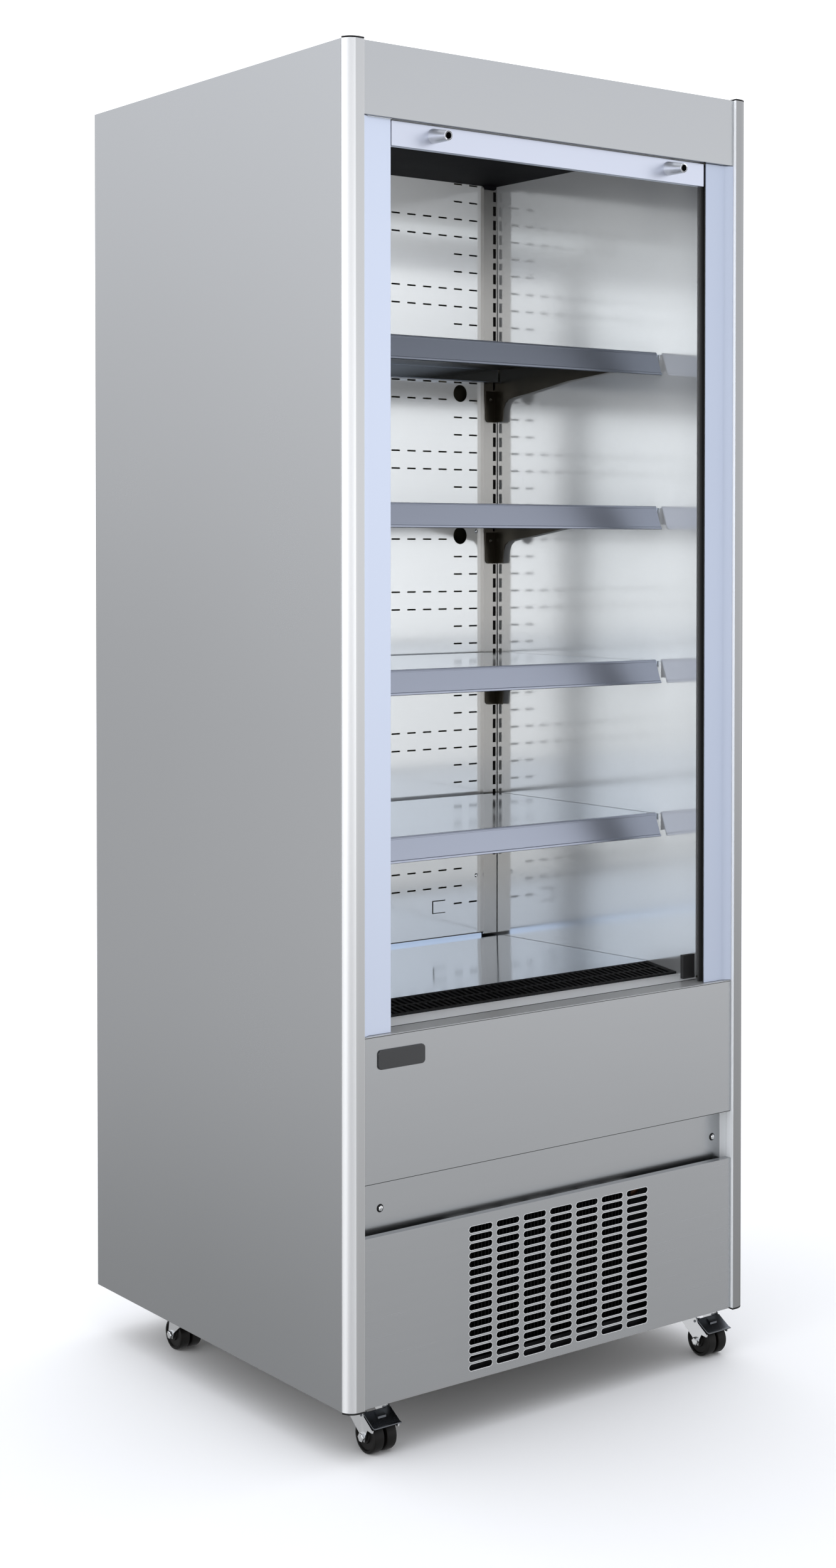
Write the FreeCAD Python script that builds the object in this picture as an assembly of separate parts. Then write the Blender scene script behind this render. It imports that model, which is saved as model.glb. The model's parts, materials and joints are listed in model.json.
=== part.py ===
import FreeCAD, Part
import math
import os

# Open multideck display fridge: insulated cabinet, four shelves, roller night blind, four castors.
# X is the width (seen from the front, +X is right), -Y is the open front, Z is up from the floor.
# The origin is on the floor, under the middle of the whole object's box.

V = FreeCAD.Vector

# ---------------------------------------------------------------- cabinet
BODY_W = 780.0              # outside width over the side panels
BODY_D = 716.0              # outside depth, front of the corner posts to the back panel
BODY_Z0 = 79.0              # underside of the cabinet above the floor
BODY_Z1 = 2000.0            # top of the cabinet
KNOB_PROUD = 22.0           # how far the blind's knobs stand in front of the posts
SKIN = 1.0                  # thickness of every folded sheet
GAP = 0.3                   # open joint between neighbouring pieces
SIDE_WALL = 53.0            # outside of the side panel to the inner face of the liner
BACK_WALL = 63.0            # outside of the back panel to the inner face of the back wall
ROOF_WALL = 49.0            # outside of the roof to the duct above the ceiling
FLOOR_Z = 395.0             # underside of the insulated floor, top of the machine space
FLOOR_T = 41.0              # thickness of the insulated floor
FRONT_WALL_T = 42.0         # thickness of the insulated wall behind the front panel

# ---------------------------------------------------------------- front frame
POST_W = 29.0               # corner post, width seen from the front
POST_D = 16.0               # corner post, depth
POST_R = 20.0               # rounding of the post's outer corner
POST_T = 2.0                # wall of the post
CAP_T = 2.5                 # plastic cap on each end of a post
PANEL_S = 5.0               # front panels behind the face of the posts
RETURN_D = 11.0             # folded edge of the front panels
FASCIA_Z0 = 1897.0          # lower edge of the top panel
FASCIA_LIP = 7.0            # folded lip along the lower edge of the top panel
SILL_Z = 605.0              # top of the front panel
SILL_D = 41.0               # depth of the front panel's top flange
SCREW_STRIP_Z0 = 315.0      # recessed screwed strip, lower edge
SCREW_STRIP_S = 31.0        # its face behind the face of the posts
SCREW_X = (-312.5, 344.0)   # screws on the strip
SCREW_Z = 351.0
SCREW_HEAD_R = 6.0
VENT_Z1 = 320.0             # upper edge of the slotted panel
VENT_COLS = 7
VENT_ROWS = 17
VENT_PITCH_X = 51.4
VENT_PITCH_Z = 12.65
VENT_SLOT_L = 43.4
VENT_SLOT_H = 9.2
VENT_X = 5.0                # middle of the slot pattern
VENT_TOP_Z = 299.5          # middle of the top row
STRIP_X = 307.0             # inner edge of the bright strips beside the opening
STRIP_W = 39.0              # their flat face
STRIP_S = 12.0              # their face behind the face of the posts
STRIP_T = 1.5
GUIDE_W = 24.0              # black guide channel of the blind
GUIDE_D = 14.5
GUIDE_WALL = 2.5
LINER_S = 62.0              # front edge of the liner behind the face of the posts
BADGE_L = 83.0
BADGE_H = 28.0
BADGE_X = -294.0
BADGE_Z = 570.4
BADGE_T = 2.5

# ---------------------------------------------------------------- display space
DUCT_S = 578.0              # perforated back panel behind the face of the posts
DUCT_Z0 = 610.0             # lower edge of the perforated panel
CEILING_Z = 1933.0          # underside of the ceiling
COL_PITCH = 34.0            # slot columns of the perforated panel
ROW_PITCH = 30.6            # slot rows
AIR_SLOT_L = 18.6
AIR_SLOT_H = 2.8
HALF_COLS = 9               # slot columns each side of the middle
UPPER_ROW_Z = 1870.0        # first full row of the upper group
LOWER_ROW_Z = 1584.0        # first full row of the lower group
CABLE_HOLE_R = 15.0
CABLE_HOLE_X = 260.0
LANCE_X0 = 198.0            # C-shaped cut that frees a tongue in the perforated panel
LANCE_X1 = 227.0
LANCE_H = 23.0
LANCE_Z = (652.0, 747.5)    # lower edges of the cuts
UPRIGHT_W = 29.5
UPRIGHT_GAP = 1.5           # open joint between an upright and the side wall
UPRIGHT_D = 9.0
UPRIGHT_T = 1.5
SLOT_PITCH = 25.0
SLOT_H = 17.0
SLOT_W = 6.5
SHORT_SLOT_H = 12.0         # the one short slot of an upright
SHORT_STEP = 20.5           # from its top to the next slot's top
SHELVES = 4
SHELF_Z = 1611.0            # top of the highest price rail
SHELF_PITCH = 10 * SLOT_PITCH
SHELF_W = 670.0
SHELF_S0 = 152.0            # front of the shelf
SHELF_S1 = 556.0            # back of the shelf
SHELF_DROP = 2.5            # shelf surface below the top of its price rail
SHELF_EDGE = 24.0           # depth of the shelf's folded edges
RAIL_H = 38.0
RAIL_TILT = 14.0            # how far the rail's lower edge stands in front of its upper edge
RAIL_W = 660.0
BRACKET_T = 2.0
BRACKET_DROP = 95.5         # foot of a bracket below the top of its price rail
DECK_S0 = 174.5             # front edge of the display deck
DECK_S1 = 574.0
DECK_Z0 = 614.0             # front height of the deck
DECK_Z1 = 604.5             # back height, so the deck drains backwards
GRILLE_L = 68.0             # front to back size of the intake grille
GRILLE_T = 3.0
GRILLE_RIM = 8.0
GRILLE_DROP = 7.6           # how far its front edge lies below its back edge
GRILLE_PITCH = 11.5
GRILLE_SLOT_W = 6.6
GRILLE_SLOT_L = 28.0
LEDGE_Z = 586.0             # ledge on the liner that carries the deck
STOP_W = 25.0               # end stop of the blind on the sill
STOP_D = 6.5
STOP_H = 38.0

# ---------------------------------------------------------------- night blind
BAR_H = 36.0
BAR_D = 10.0
BAR_W = 609.0
BAR_S = 14.0                # face of the bar behind the face of the posts
BAR_WALL = 1.5
KNOB_X = 229.0
KNOB_R0 = 11.0
KNOB_R1 = 7.25
KNOB_BORE_R = 5.0
CURTAIN_W = 600.0
CURTAIN_T = 0.6
WINDING_R = 19.7
ROLLER_R = 14.0
ROLLER_W = 628.0
ROLLER_Z = 1945.0
ROLLER_PIN_R = 5.0
RUNNING = 0.08              # radial clearance of turning fits

# ---------------------------------------------------------------- machine space
COMPRESSOR_R = 75.0
COMPRESSOR_X = 60.0
COMPRESSOR_S = 480.0
COMPRESSOR_TOP = 272.0
COIL_W = 340.0
COIL_H = 214.0
COIL_D = 44.0
COIL_S = 36.0
COIL_ROWS = 5               # odd, so a coil's two ends lie on its two sides
TUBE_END = 8.0              # how far a coil's tubes stand out of its block
FIN_T = 1.2
FIN_PITCH = 6.8
FAN_R = 92.0
EVAP_W = 520.0
EVAP_H = 128.0
EVAP_D = 170.0
EVAP_S = 300.0
EVAP_FAN_R = 56.0
EVAP_FAN_S = 240.0
PIPE_R = 5.0
INLET_X = 300.0
INLET_Z = 150.0

# ---------------------------------------------------------------- castors
CASTOR_X = (-314.0, 342.0)  # left and right swivel axes
CASTOR_S = (59.0, 550.0)    # front and back swivel axes
TRAIL = 20.0                # axle behind the swivel axis
WHEEL_R = 25.0
WHEEL_T = 18.0
WHEEL_GAP = 4.0
FORK_T = 2.5
FORK_IN = 21.5              # inner half width of the fork
PLATE_SIDE = 60.0
PLATE_T = 2.5
KINGPIN_R = 4.0
AXLE_R = 4.0
PEDAL_PIN_R = 2.0

# ---------------------------------------------------------------- derived places
FRONT_Y = KNOB_PROUD - (BODY_D + KNOB_PROUD) / 2.0
HALF = BODY_W / 2.0
SKIN_X = HALF - SKIN
LINER_X = HALF - SIDE_WALL
FOAM_X = LINER_X + SKIN
POST_X = HALF - POST_W
PANEL_X = POST_X - GAP
BACK_S = BODY_D - SKIN
WELL_Z = FLOOR_Z + FLOOR_T
INNER_BACK_S = BODY_D - BACK_WALL
ROOF_Z = BODY_Z1 - ROOF_WALL
JAMB_X = STRIP_X + STRIP_W + 1.0
JAMB_S = POST_D + SKIN
FRONT_WALL_S = JAMB_S + SKIN
UPRIGHT_S = DUCT_S - UPRIGHT_D
UPRIGHT_X1 = LINER_X - UPRIGHT_GAP
UPRIGHT_X0 = UPRIGHT_X1 - UPRIGHT_W
BRACKET_X = LINER_X - 8.0
CURTAIN_S = BAR_S + BAR_D / 2.0 - CURTAIN_T / 2.0
ROLLER_S = CURTAIN_S + CURTAIN_T + GAP + WINDING_R
BAR_Z1 = FASCIA_Z0 - 1.0
BAR_Z0 = BAR_Z1 - BAR_H
GRILLE_LEAN = GRILLE_RIM * GRILLE_DROP / GRILLE_L
GRILLE_S0 = DECK_S0 - GAP - GRILLE_LEAN - GRILLE_L
WHEEL_W = 2.0 * WHEEL_T + WHEEL_GAP
AXLE_Z = WHEEL_R
PLATE_Z = BODY_Z0 - PLATE_T


def y_at(s):
    """Y of a plane that lies s behind the face of the corner posts."""
    return FRONT_Y + s


def box(x0, x1, s0, s1, z0, z1):
    """Box between two X, two depths behind the posts' face, and two heights."""
    shape = Part.makeBox(x1 - x0, s1 - s0, z1 - z0)
    shape.translate(V(x0, y_at(s0), z0))
    return shape


def join(shapes):
    """One solid out of touching or overlapping pieces."""
    shape = shapes[0].fuse(shapes[1:]) if len(shapes) > 1 else shapes[0]
    return shape.removeSplitter()


def mirror(shape):
    """The same piece on the other side of the cabinet's middle plane."""
    return shape.mirror(V(0, 0, 0), V(1, 0, 0))


def both(shape):
    """A right-hand piece and its left-hand twin."""
    return [shape, mirror(shape)]


def point(axis, a, u, v):
    """A point at a along the axis; u and v are the other two coordinates, depths as s."""
    if axis == "x":
        return V(a, y_at(u), v)
    if axis == "y":
        return V(u, y_at(a), v)
    return V(u, y_at(v), a)


def along(axis, length):
    return {"x": V(length, 0, 0), "y": V(0, length, 0), "z": V(0, 0, length)}[axis]


def outline(axis, a, pts):
    corners = [point(axis, a, u, v) for u, v in pts]
    return Part.makePolygon(corners + corners[:1])


def rectangle(axis, a, u0, u1, v0, v1):
    return outline(axis, a, [(u0, v0), (u1, v0), (u1, v1), (u0, v1)])


def ring(axis, a, u, v, r):
    return Part.Wire(Part.makeCircle(r, point(axis, a, u, v), along(axis, 1.0)))


def slot(axis, a, u, v, length, height):
    """Round-ended slot, long along u, middle at u, v."""
    r = height / 2.0
    h = length / 2.0 - r
    p = [point(axis, a, u - h, v - r), point(axis, a, u + h, v - r),
         point(axis, a, u + h + r, v), point(axis, a, u + h, v + r),
         point(axis, a, u - h, v + r), point(axis, a, u - h - r, v)]
    edges = [Part.LineSegment(p[0], p[1]), Part.Arc(p[1], p[2], p[3]),
             Part.LineSegment(p[3], p[4]), Part.Arc(p[4], p[5], p[0])]
    return Part.Wire([e.toShape() for e in edges])


def sheet(axis, length, outer, holes=()):
    """Flat sheet with holes, as thick as length along the axis."""
    face = Part.makeFace([outer] + list(holes), "Part::FaceMakerBullseye")
    return face.extrude(along(axis, length))


def prism(axis, a, length, pts):
    return sheet(axis, length, outline(axis, a, pts))


def rod(axis, a, length, u, v, r):
    return Part.makeCylinder(r, length, point(axis, a, u, v), along(axis, 1.0))


def tube_path(points, radius, bend):
    """Round pipe along straight runs joined by tangent arcs."""
    edges = []
    start = points[0]
    for before, corner, after in zip(points, points[1:], points[2:]):
        a = (before - corner).normalize()
        b = (after - corner).normalize()
        turn = math.pi - a.getAngle(b)
        cut = bend * math.tan(turn / 2.0)
        first = corner + a * cut
        last = corner + b * cut
        middle = (a + b).normalize()
        depth = bend / math.cos(turn / 2.0) - bend
        edges.append(Part.LineSegment(start, first).toShape())
        edges.append(Part.Arc(first, corner + middle * depth, last).toShape())
        start = last
    edges.append(Part.LineSegment(start, points[-1]).toShape())
    path = Part.Wire(edges)
    profile = Part.Wire(Part.makeCircle(radius, points[0], points[1] - points[0]))
    return path.makePipeShell([profile], True, False)


def save(name, shapes):
    """One STEP per piece; a list holds the identical copies of one piece."""
    solids = shapes if isinstance(shapes, list) else [shapes]
    whole = solids[0] if len(solids) == 1 else Part.makeCompound(solids)
    whole.exportStep(os.path.join("parts", name + ".step"))
    volume = sum(s.Volume for s in solids)
    print(name, sum(len(s.Solids) for s in solids), all(s.isValid() for s in solids), round(volume))


# ---------------------------------------------------------------- cabinet pieces
def foam_body():
    """Foamed shell: two walls, back, roof, floor and the low wall behind the front panel."""
    top = BODY_Z1 - SKIN
    parts = [box(-SKIN_X, SKIN_X, FRONT_WALL_S, BACK_S, FLOOR_Z, WELL_Z),
             box(-SKIN_X, SKIN_X, INNER_BACK_S, BACK_S, WELL_Z, top),
             box(-SKIN_X, SKIN_X, 75.0, INNER_BACK_S, ROOF_Z, top),
             box(-SKIN_X, SKIN_X, FRONT_WALL_S, FRONT_WALL_S + FRONT_WALL_T, WELL_Z, SILL_Z - 3.0)]
    wall = box(FOAM_X, SKIN_X, LINER_S + SKIN, INNER_BACK_S, WELL_Z, ROOF_Z)
    jamb = box(JAMB_X, SKIN_X, JAMB_S, LINER_S + SKIN, FLOOR_Z, top)
    corner = box(JAMB_X, SKIN_X, LINER_S, 75.0, ROOF_Z, top)
    parts += both(wall) + both(jamb) + both(corner)
    pipe_hole = rod("z", FLOOR_Z - 1.0, FLOOR_T + 2.0, pipe_x(), pipe_s(), 12.0)
    return join(parts).cut(pipe_hole)


def base_pan():
    """Chassis tray under the machine space, open slots let air through."""
    x = SKIN_X - GAP
    slots = [slot("z", BODY_Z0, sx, 250.0 + 22.0 * i, 120.0, 8.0) for sx in (-150.0, 150.0) for i in range(6)]
    floor = sheet("z", 2.0, rectangle("z", BODY_Z0, -x, x, JAMB_S, BACK_S), slots)
    front = box(-x, x, JAMB_S, JAMB_S + 2.0, BODY_Z0, BODY_Z0 + 26.0)
    back = box(-x, x, BACK_S - 2.0, BACK_S, BODY_Z0, BODY_Z0 + 26.0)
    return join([floor, front, back])


def side_skin():
    """Outer side sheet with a return folded in behind the corner post."""
    face = box(SKIN_X, HALF, POST_D, BODY_D, BODY_Z0, BODY_Z1)
    front = box(POST_X + 3.0, SKIN_X, POST_D, JAMB_S, BODY_Z0, BODY_Z1)
    return join([face, front])


def back_skin():
    """Outer back sheet with louvre slots and the cut-out of the power inlet."""
    x = SKIN_X - GAP
    slots = [slot("y", BACK_S, sx, 118.0 + 20.0 * i, 130.0, 7.0)
             for sx in (-230.0, -40.0, 150.0) for i in range(12) if not (sx > 0 and i < 3)]
    opening = rectangle("y", BACK_S, INLET_X - 14.0, INLET_X + 14.0, INLET_Z - 10.0, INLET_Z + 10.0)
    return sheet("y", SKIN, rectangle("y", BACK_S, -x, x, BODY_Z0, BODY_Z1), slots + [opening])


def roof_skin():
    x = SKIN_X - 2.0 * GAP
    return box(-x, x, JAMB_S + GAP, BACK_S - GAP, BODY_Z1 - SKIN, BODY_Z1)


def liner():
    """Inner side wall with its front return and the ledge that carries the deck."""
    wall = box(LINER_X, FOAM_X, LINER_S, INNER_BACK_S, WELL_Z, ROOF_Z)
    front = box(FOAM_X, JAMB_X, LINER_S, LINER_S + SKIN, SILL_Z + 1.0, ROOF_Z)
    ledge = box(LINER_X - 20.0, LINER_X, DECK_S0 + 2.0, DECK_S1 - 8.0, LEDGE_Z - SKIN, LEDGE_Z)
    return join([wall, front, ledge])


def duct_rows():
    """Heights of the slot rows, and whether each row runs right across."""
    rows = [(UPPER_ROW_Z + ROW_PITCH * (2 - i), i % 4 >= 2) for i in range(10)]
    rows += [(LOWER_ROW_Z - ROW_PITCH * i, i % 4 <= 1) for i in range(31)]
    return rows


def air_slots():
    """Middles of the air slots on the right half; none where a cable hole or a screw is."""
    spots = []
    for z, full in duct_rows():
        for i in range(0 if full else HALF_COLS - 2, HALF_COLS):
            x = COL_PITCH * (i + 0.5)
            hole = abs(x - CABLE_HOLE_X) < COL_PITCH / 2.0 and near(z, cable_z(), CABLE_HOLE_R + 3.0)
            screw = i == HALF_COLS - 1 and near(z, duct_screw_z(), 20.0)
            if not hole and not screw:
                spots.append((x, z))
    return spots


def near(z, heights, reach):
    return any(abs(z - h) < reach for h in heights)


def cable_z():
    return [SHELF_Z - 46.0 - SHELF_PITCH * i for i in range(SHELVES)]


def lance(z, side):
    """C-shaped cut; side is -1 for its mirror twin."""
    x0 = side * LANCE_X0
    x1 = side * LANCE_X1
    x2 = side * (LANCE_X0 + 2.6)
    top = z + LANCE_H
    return outline("y", DUCT_S, [(x0, z), (x1, z), (x1, z + 1.4), (x2, z + 1.4), (x2, top - 1.8),
                                 (x1, top - 1.8), (x1, top), (x0, top)])


def duct_panel():
    """Perforated back panel of the display space, with a return folded back at each side."""
    holes = [slot("y", DUCT_S, side * x, z, AIR_SLOT_L, AIR_SLOT_H)
             for x, z in air_slots() for side in (-1, 1)]
    holes += [lance(z, side) for z in LANCE_Z for side in (-1, 1)]
    for z in cable_z():
        holes += [ring("y", DUCT_S, sx, z, CABLE_HOLE_R) for sx in (-CABLE_HOLE_X, CABLE_HOLE_X)]
    for z in duct_screw_z():
        holes += [ring("y", DUCT_S, sx, z, 2.0) for sx in (-296.5, 296.5)]
    face = sheet("y", SKIN, rectangle("y", DUCT_S, -LINER_X, LINER_X, DUCT_Z0, CEILING_Z), holes)
    side = box(LINER_X - SKIN, LINER_X, DUCT_S + SKIN, DUCT_S + 20.0, DUCT_Z0, CEILING_Z)
    return join([face] + both(side))


def duct_screw_z():
    return (SHELF_Z - SHELF_PITCH - 38.0, SHELF_Z - 3.0 * SHELF_PITCH - 149.0)


def ceiling_panel():
    """Black ceiling under the air duct, hung from the roof by its folded sides."""
    x = LINER_X - GAP
    plate = box(-x, x, 100.0, DUCT_S + SKIN, CEILING_Z, CEILING_Z + SKIN)
    side = box(x - SKIN, x, 100.0, DUCT_S, CEILING_Z + SKIN, ROOF_Z)
    tab = box(BRACKET_X - 24.0, BRACKET_X + 4.0, UPRIGHT_S - 2.0, UPRIGHT_S - GAP, CEILING_Z - 7.0, CEILING_Z)
    corners = [e for e in tab.Edges if abs(e.tangentAt(e.FirstParameter).y) > 0.9
               and e.CenterOfMass.z < CEILING_Z - 5.0]
    tab = tab.makeFillet(5.0, corners)
    return join([plate] + both(side) + both(tab))


def air_outlet():
    """Grid at the front of the ceiling that blows the air curtain down."""
    x = LINER_X - GAP
    s0 = LINER_S + 2.0
    s1 = 100.0 - GAP
    z0 = CEILING_Z - 12.0
    rows = [s0 + 9.0, s0 + 18.0, s0 + 27.0]
    holes = [slot("z", z0, -x + 13.0 + 12.0 * i, s, 9.6, 6.4) for i in range(55) for s in rows]
    grid = sheet("z", 6.0, rectangle("z", z0, -x, x, s0, s1), holes)
    front = box(-x, x, s0, s0 + 1.5, z0 + 6.0, ROOF_Z)
    side = box(x - 1.5, x, s0, s1, z0 + 6.0, ROOF_Z)
    return join([grid, front] + both(side))


def lamp():
    """LED batten with a bevelled lens, under the ceiling."""
    z = CEILING_Z
    pts = [(106, z), (126, z), (126, z - 5), (121, z - 11), (111, z - 11), (106, z - 5)]
    return prism("x", -290.0, 580.0, pts)


def folded_panel(z0, z1, top_s, bottom_s, holes=()):
    """Front sheet between the posts with four folded edges."""
    s = PANEL_S
    face = sheet("y", SKIN, rectangle("y", s, -PANEL_X, PANEL_X, z0, z1), holes)
    top = box(-PANEL_X, PANEL_X, s, top_s, z1 - SKIN, z1)
    bottom = box(-PANEL_X, PANEL_X, s, bottom_s, z0, z0 + SKIN)
    side = box(PANEL_X - SKIN, PANEL_X, s, JAMB_S, z0, z1)
    return join([face, top, bottom] + both(side))


def fascia():
    panel = folded_panel(FASCIA_Z0, BODY_Z1, JAMB_S, PANEL_S + SKIN + FASCIA_LIP)
    return panel


def front_panel():
    """Big lower panel; its top flange is the outer half of the sill."""
    z = SILL_Z
    panel = folded_panel(FLOOR_Z + GAP, z, PANEL_S + RETURN_D, PANEL_S + RETURN_D)
    flange = box(-JAMB_X + GAP, JAMB_X - GAP, PANEL_S, PANEL_S + SILL_D, z - SKIN, z)
    hem = box(-JAMB_X + GAP, JAMB_X - GAP, PANEL_S + SILL_D - SKIN, PANEL_S + SILL_D, z - 2.0, z)
    return join([panel, flange, hem])


def screw_strip():
    """Recessed strip; its ends are folded forward and seat behind the posts."""
    h = POST_X + SKIN
    s = SCREW_STRIP_S
    z0 = SCREW_STRIP_Z0
    z1 = FLOOR_Z - GAP
    holes = [ring("y", s, x, SCREW_Z, 2.6) for x in SCREW_X]
    face = sheet("y", SKIN, rectangle("y", s, -h, h, z0, z1), holes)
    bottom = box(-h, h, s, s + 4.0, z0, z0 + SKIN)
    side = box(POST_X, h, POST_D, s + SKIN, z0, z1)
    end = box(POST_X, POST_X + 3.0 - GAP, POST_D, JAMB_S, z0, z1)
    return join([face, bottom] + both(side) + both(end))


def dome_screw(x, s, z, head_r, length):
    """Dome-headed screw that points back into the cabinet."""
    head = Part.makeSphere(head_r * 1.25, V(x, y_at(s) + head_r * 0.75, z))
    keep = box(x - head_r - 1.0, x + head_r + 1.0, s - head_r, s, z - head_r - 1.0, z + head_r + 1.0)
    head = head.common(keep).cut(box(x - 0.6, x + 0.6, s - head_r, s - 0.5 * head_r + 1.2, z - 2.6, z + 2.6))
    shank = rod("y", s - 0.2, length, x, z, 0.36 * head_r)
    return join([head, shank])


def panel_screws():
    screws = [dome_screw(x, SCREW_STRIP_S, SCREW_Z, SCREW_HEAD_R, 12.0) for x in SCREW_X]
    screws += [dome_screw(x, DUCT_S, sz, 3.6, 8.0) for x in (-296.5, 296.5) for sz in duct_screw_z()]
    return screws


def vent_panel():
    """Slotted panel in front of the condenser."""
    first = VENT_X - VENT_PITCH_X * (VENT_COLS - 1) / 2.0
    holes = []
    for i in range(VENT_COLS):
        for j in range(VENT_ROWS):
            z = VENT_TOP_Z - VENT_PITCH_Z * j
            holes.append(slot("y", PANEL_S, first + VENT_PITCH_X * i, z, VENT_SLOT_L, VENT_SLOT_H))
    edge = PANEL_S + RETURN_D + SKIN
    return folded_panel(BODY_Z0, VENT_Z1, edge, edge, holes)


def badge_plate():
    """Blank name plate with round corners."""
    r = 6.0
    plate = box(BADGE_X - BADGE_L / 2.0, BADGE_X + BADGE_L / 2.0, PANEL_S - BADGE_T, PANEL_S,
                BADGE_Z - BADGE_H / 2.0, BADGE_Z + BADGE_H / 2.0)
    edges = [e for e in plate.Edges if abs(e.tangentAt(e.FirstParameter).y) > 0.9]
    return plate.makeFillet(r, edges)


def post_outline(inset):
    """Section of the corner post seen from above, drawn for the right-hand side."""
    x0 = POST_X + inset
    x1 = HALF - inset
    r = POST_R - inset
    h = math.sqrt(r * r - (POST_R - POST_D) ** 2)
    angle = math.radians(-45.0)
    c = (x1 - r, POST_R)
    p = [point("z", 0, x0, POST_D), point("z", 0, x0, inset), point("z", 0, c[0], inset),
         point("z", 0, c[0] + r * math.cos(angle), c[1] + r * math.sin(angle)),
         point("z", 0, c[0] + h, POST_D)]
    edges = [Part.LineSegment(p[0], p[1]), Part.LineSegment(p[1], p[2]), Part.Arc(p[2], p[3], p[4]),
             Part.LineSegment(p[4], p[0])]
    return Part.Face(Part.Wire([e.toShape() for e in edges]))


def post():
    """Open extruded corner post."""
    height = BODY_Z1 - BODY_Z0
    outer = post_outline(0.0).extrude(V(0, 0, height))
    inner = post_outline(POST_T).extrude(V(0, 0, height))
    shape = outer.cut(inner)
    shape.translate(V(0, 0, BODY_Z0))
    return shape


def post_cap(top):
    """Cap on the end of a post, with a plug inside the extrusion."""
    lid = post_outline(0.0).extrude(V(0, 0, CAP_T))
    plug = post_outline(POST_T + GAP).extrude(V(0, 0, 10.0))
    lid.translate(V(0, 0, BODY_Z1 if top else BODY_Z0 - CAP_T))
    plug.translate(V(0, 0, BODY_Z1 - 10.0 if top else BODY_Z0))
    return join([lid, plug])


def post_caps():
    return both(post_cap(True)) + both(post_cap(False))


def opening_strips():
    """Bright strips beside the opening; the outer edge bends forward to the panel plane."""
    x0 = STRIP_X
    x1 = STRIP_X + STRIP_W
    s = STRIP_S
    t = STRIP_T
    edge = PANEL_X - GAP
    pts = [(x0, s), (x1, s), (edge, PANEL_S), (edge, PANEL_S + 2.0), (x1 + 0.6, s + t), (x0, s + t)]
    return both(prism("z", SILL_Z + GAP, FASCIA_Z0 - SILL_Z - 2.0 * GAP, pts))


def blind_guides():
    """Guide channels for the ends of the blind's bar, with a leg back to the liner, and two end stops."""
    x0 = STRIP_X + 1.0
    x1 = x0 + GUIDE_W
    s0 = STRIP_S + STRIP_T
    s1 = s0 + GUIDE_D
    w = GUIDE_WALL
    pts = [(x0, s0), (x1, s0), (x1, s1 - w), (JAMB_X, s1 - w), (JAMB_X, LINER_S), (JAMB_X - 5.0, LINER_S),
           (JAMB_X - 5.0, s1), (x0, s1), (x0, s1 - w), (x1 - w, s1 - w), (x1 - w, s0 + w), (x0, s0 + w)]
    stop_z = SILL_Z - 2.0
    stop_x = LINER_X - 1.0
    stop_s = LINER_S + 1.5
    stop = box(stop_x - STOP_W, stop_x, stop_s, stop_s + STOP_D, stop_z, stop_z + STOP_H)
    return both(prism("z", SILL_Z + GAP, FASCIA_Z0 - SILL_Z - 2.0 * GAP, pts)) + both(stop)


# ---------------------------------------------------------------- shelving
def slot_marks():
    """Upper end and height of each slot in an upright."""
    low = SHELF_Z - BRACKET_DROP - 1.0
    top = CEILING_Z - 10.0
    short = top - 5 * SLOT_PITCH
    count = 4 + (SHELVES - 1) * 10
    marks = [(low + SLOT_PITCH * (3 - i), SLOT_H) for i in range(count)]
    marks += [(top - SLOT_PITCH * i, SLOT_H) for i in range(5)] + [(short, SHORT_SLOT_H)]
    marks += [(short - SHORT_STEP - SLOT_PITCH * i, SLOT_H) for i in range(7)]
    return marks


def uprights():
    """Slotted channels in the back corners."""
    x0 = UPRIGHT_X0
    x1 = UPRIGHT_X1
    s = UPRIGHT_S
    t = UPRIGHT_T
    z1 = CEILING_Z - 4.0
    z0 = DUCT_Z0 - 2.0
    xs = BRACKET_X + BRACKET_T / 2.0
    holes = [rectangle("y", s, xs - SLOT_W / 2.0, xs + SLOT_W / 2.0, z - h, z) for z, h in slot_marks()]
    face = sheet("y", t, rectangle("y", s, x0, x1, z0, z1), holes)
    inner = box(x0, x0 + t, s, s + UPRIGHT_D, z0, z1)
    outer = box(x1 - t, x1, s, s + UPRIGHT_D, z0, z1)
    return both(join([face, inner, outer]))


def bracket(z):
    """Shelf bracket: arm with a swept lower edge, front flange and two hooks; z is the rail's top."""
    x0 = BRACKET_X
    x1 = BRACKET_X + BRACKET_T
    back = UPRIGHT_S
    top = z - SHELF_DROP - SKIN
    foot = z - BRACKET_DROP
    pts = [(back, foot), (back - 24, foot + 1), (back - 26.5, foot + 22), (back - 31, foot + 33),
           (back - 40, foot + 39), (back - 56, foot + 42), (back - 98, foot + 47), (back - 200, foot + 62),
           (SHELF_S0 + 20, top - 14), (SHELF_S0 + 8, top - 8), (SHELF_S0 + 8, top), (back, top)]
    arm = prism("x", x0, BRACKET_T, pts)
    flange = box(x0 - 19.5, x0, back - 2.0, back, foot, foot + 55.0)
    edges = [e for e in flange.Edges if abs(e.tangentAt(e.FirstParameter).y) > 0.9
             and e.CenterOfMass.x < x0 - 10.0 and e.CenterOfMass.z < foot + 10.0]
    flange = flange.makeFillet(7.0, edges).cut(rod("y", back - 3.0, 4.0, x0 - 9.0, foot + 40.0, 3.0))
    hooks = []
    for k in (1, 2):
        h = foot + SLOT_PITCH * k - 2.0
        hooks.append(box(x0, x1, back, back + 5.0, h - 14.0, h))
        hooks.append(box(x0, x1, back + 2.0, back + 5.0, h - 19.0, h))
    return join([arm, flange] + hooks)


def shelf_brackets():
    brackets = []
    for i in range(SHELVES):
        brackets += both(bracket(SHELF_Z - SHELF_PITCH * i))
    return brackets


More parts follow.
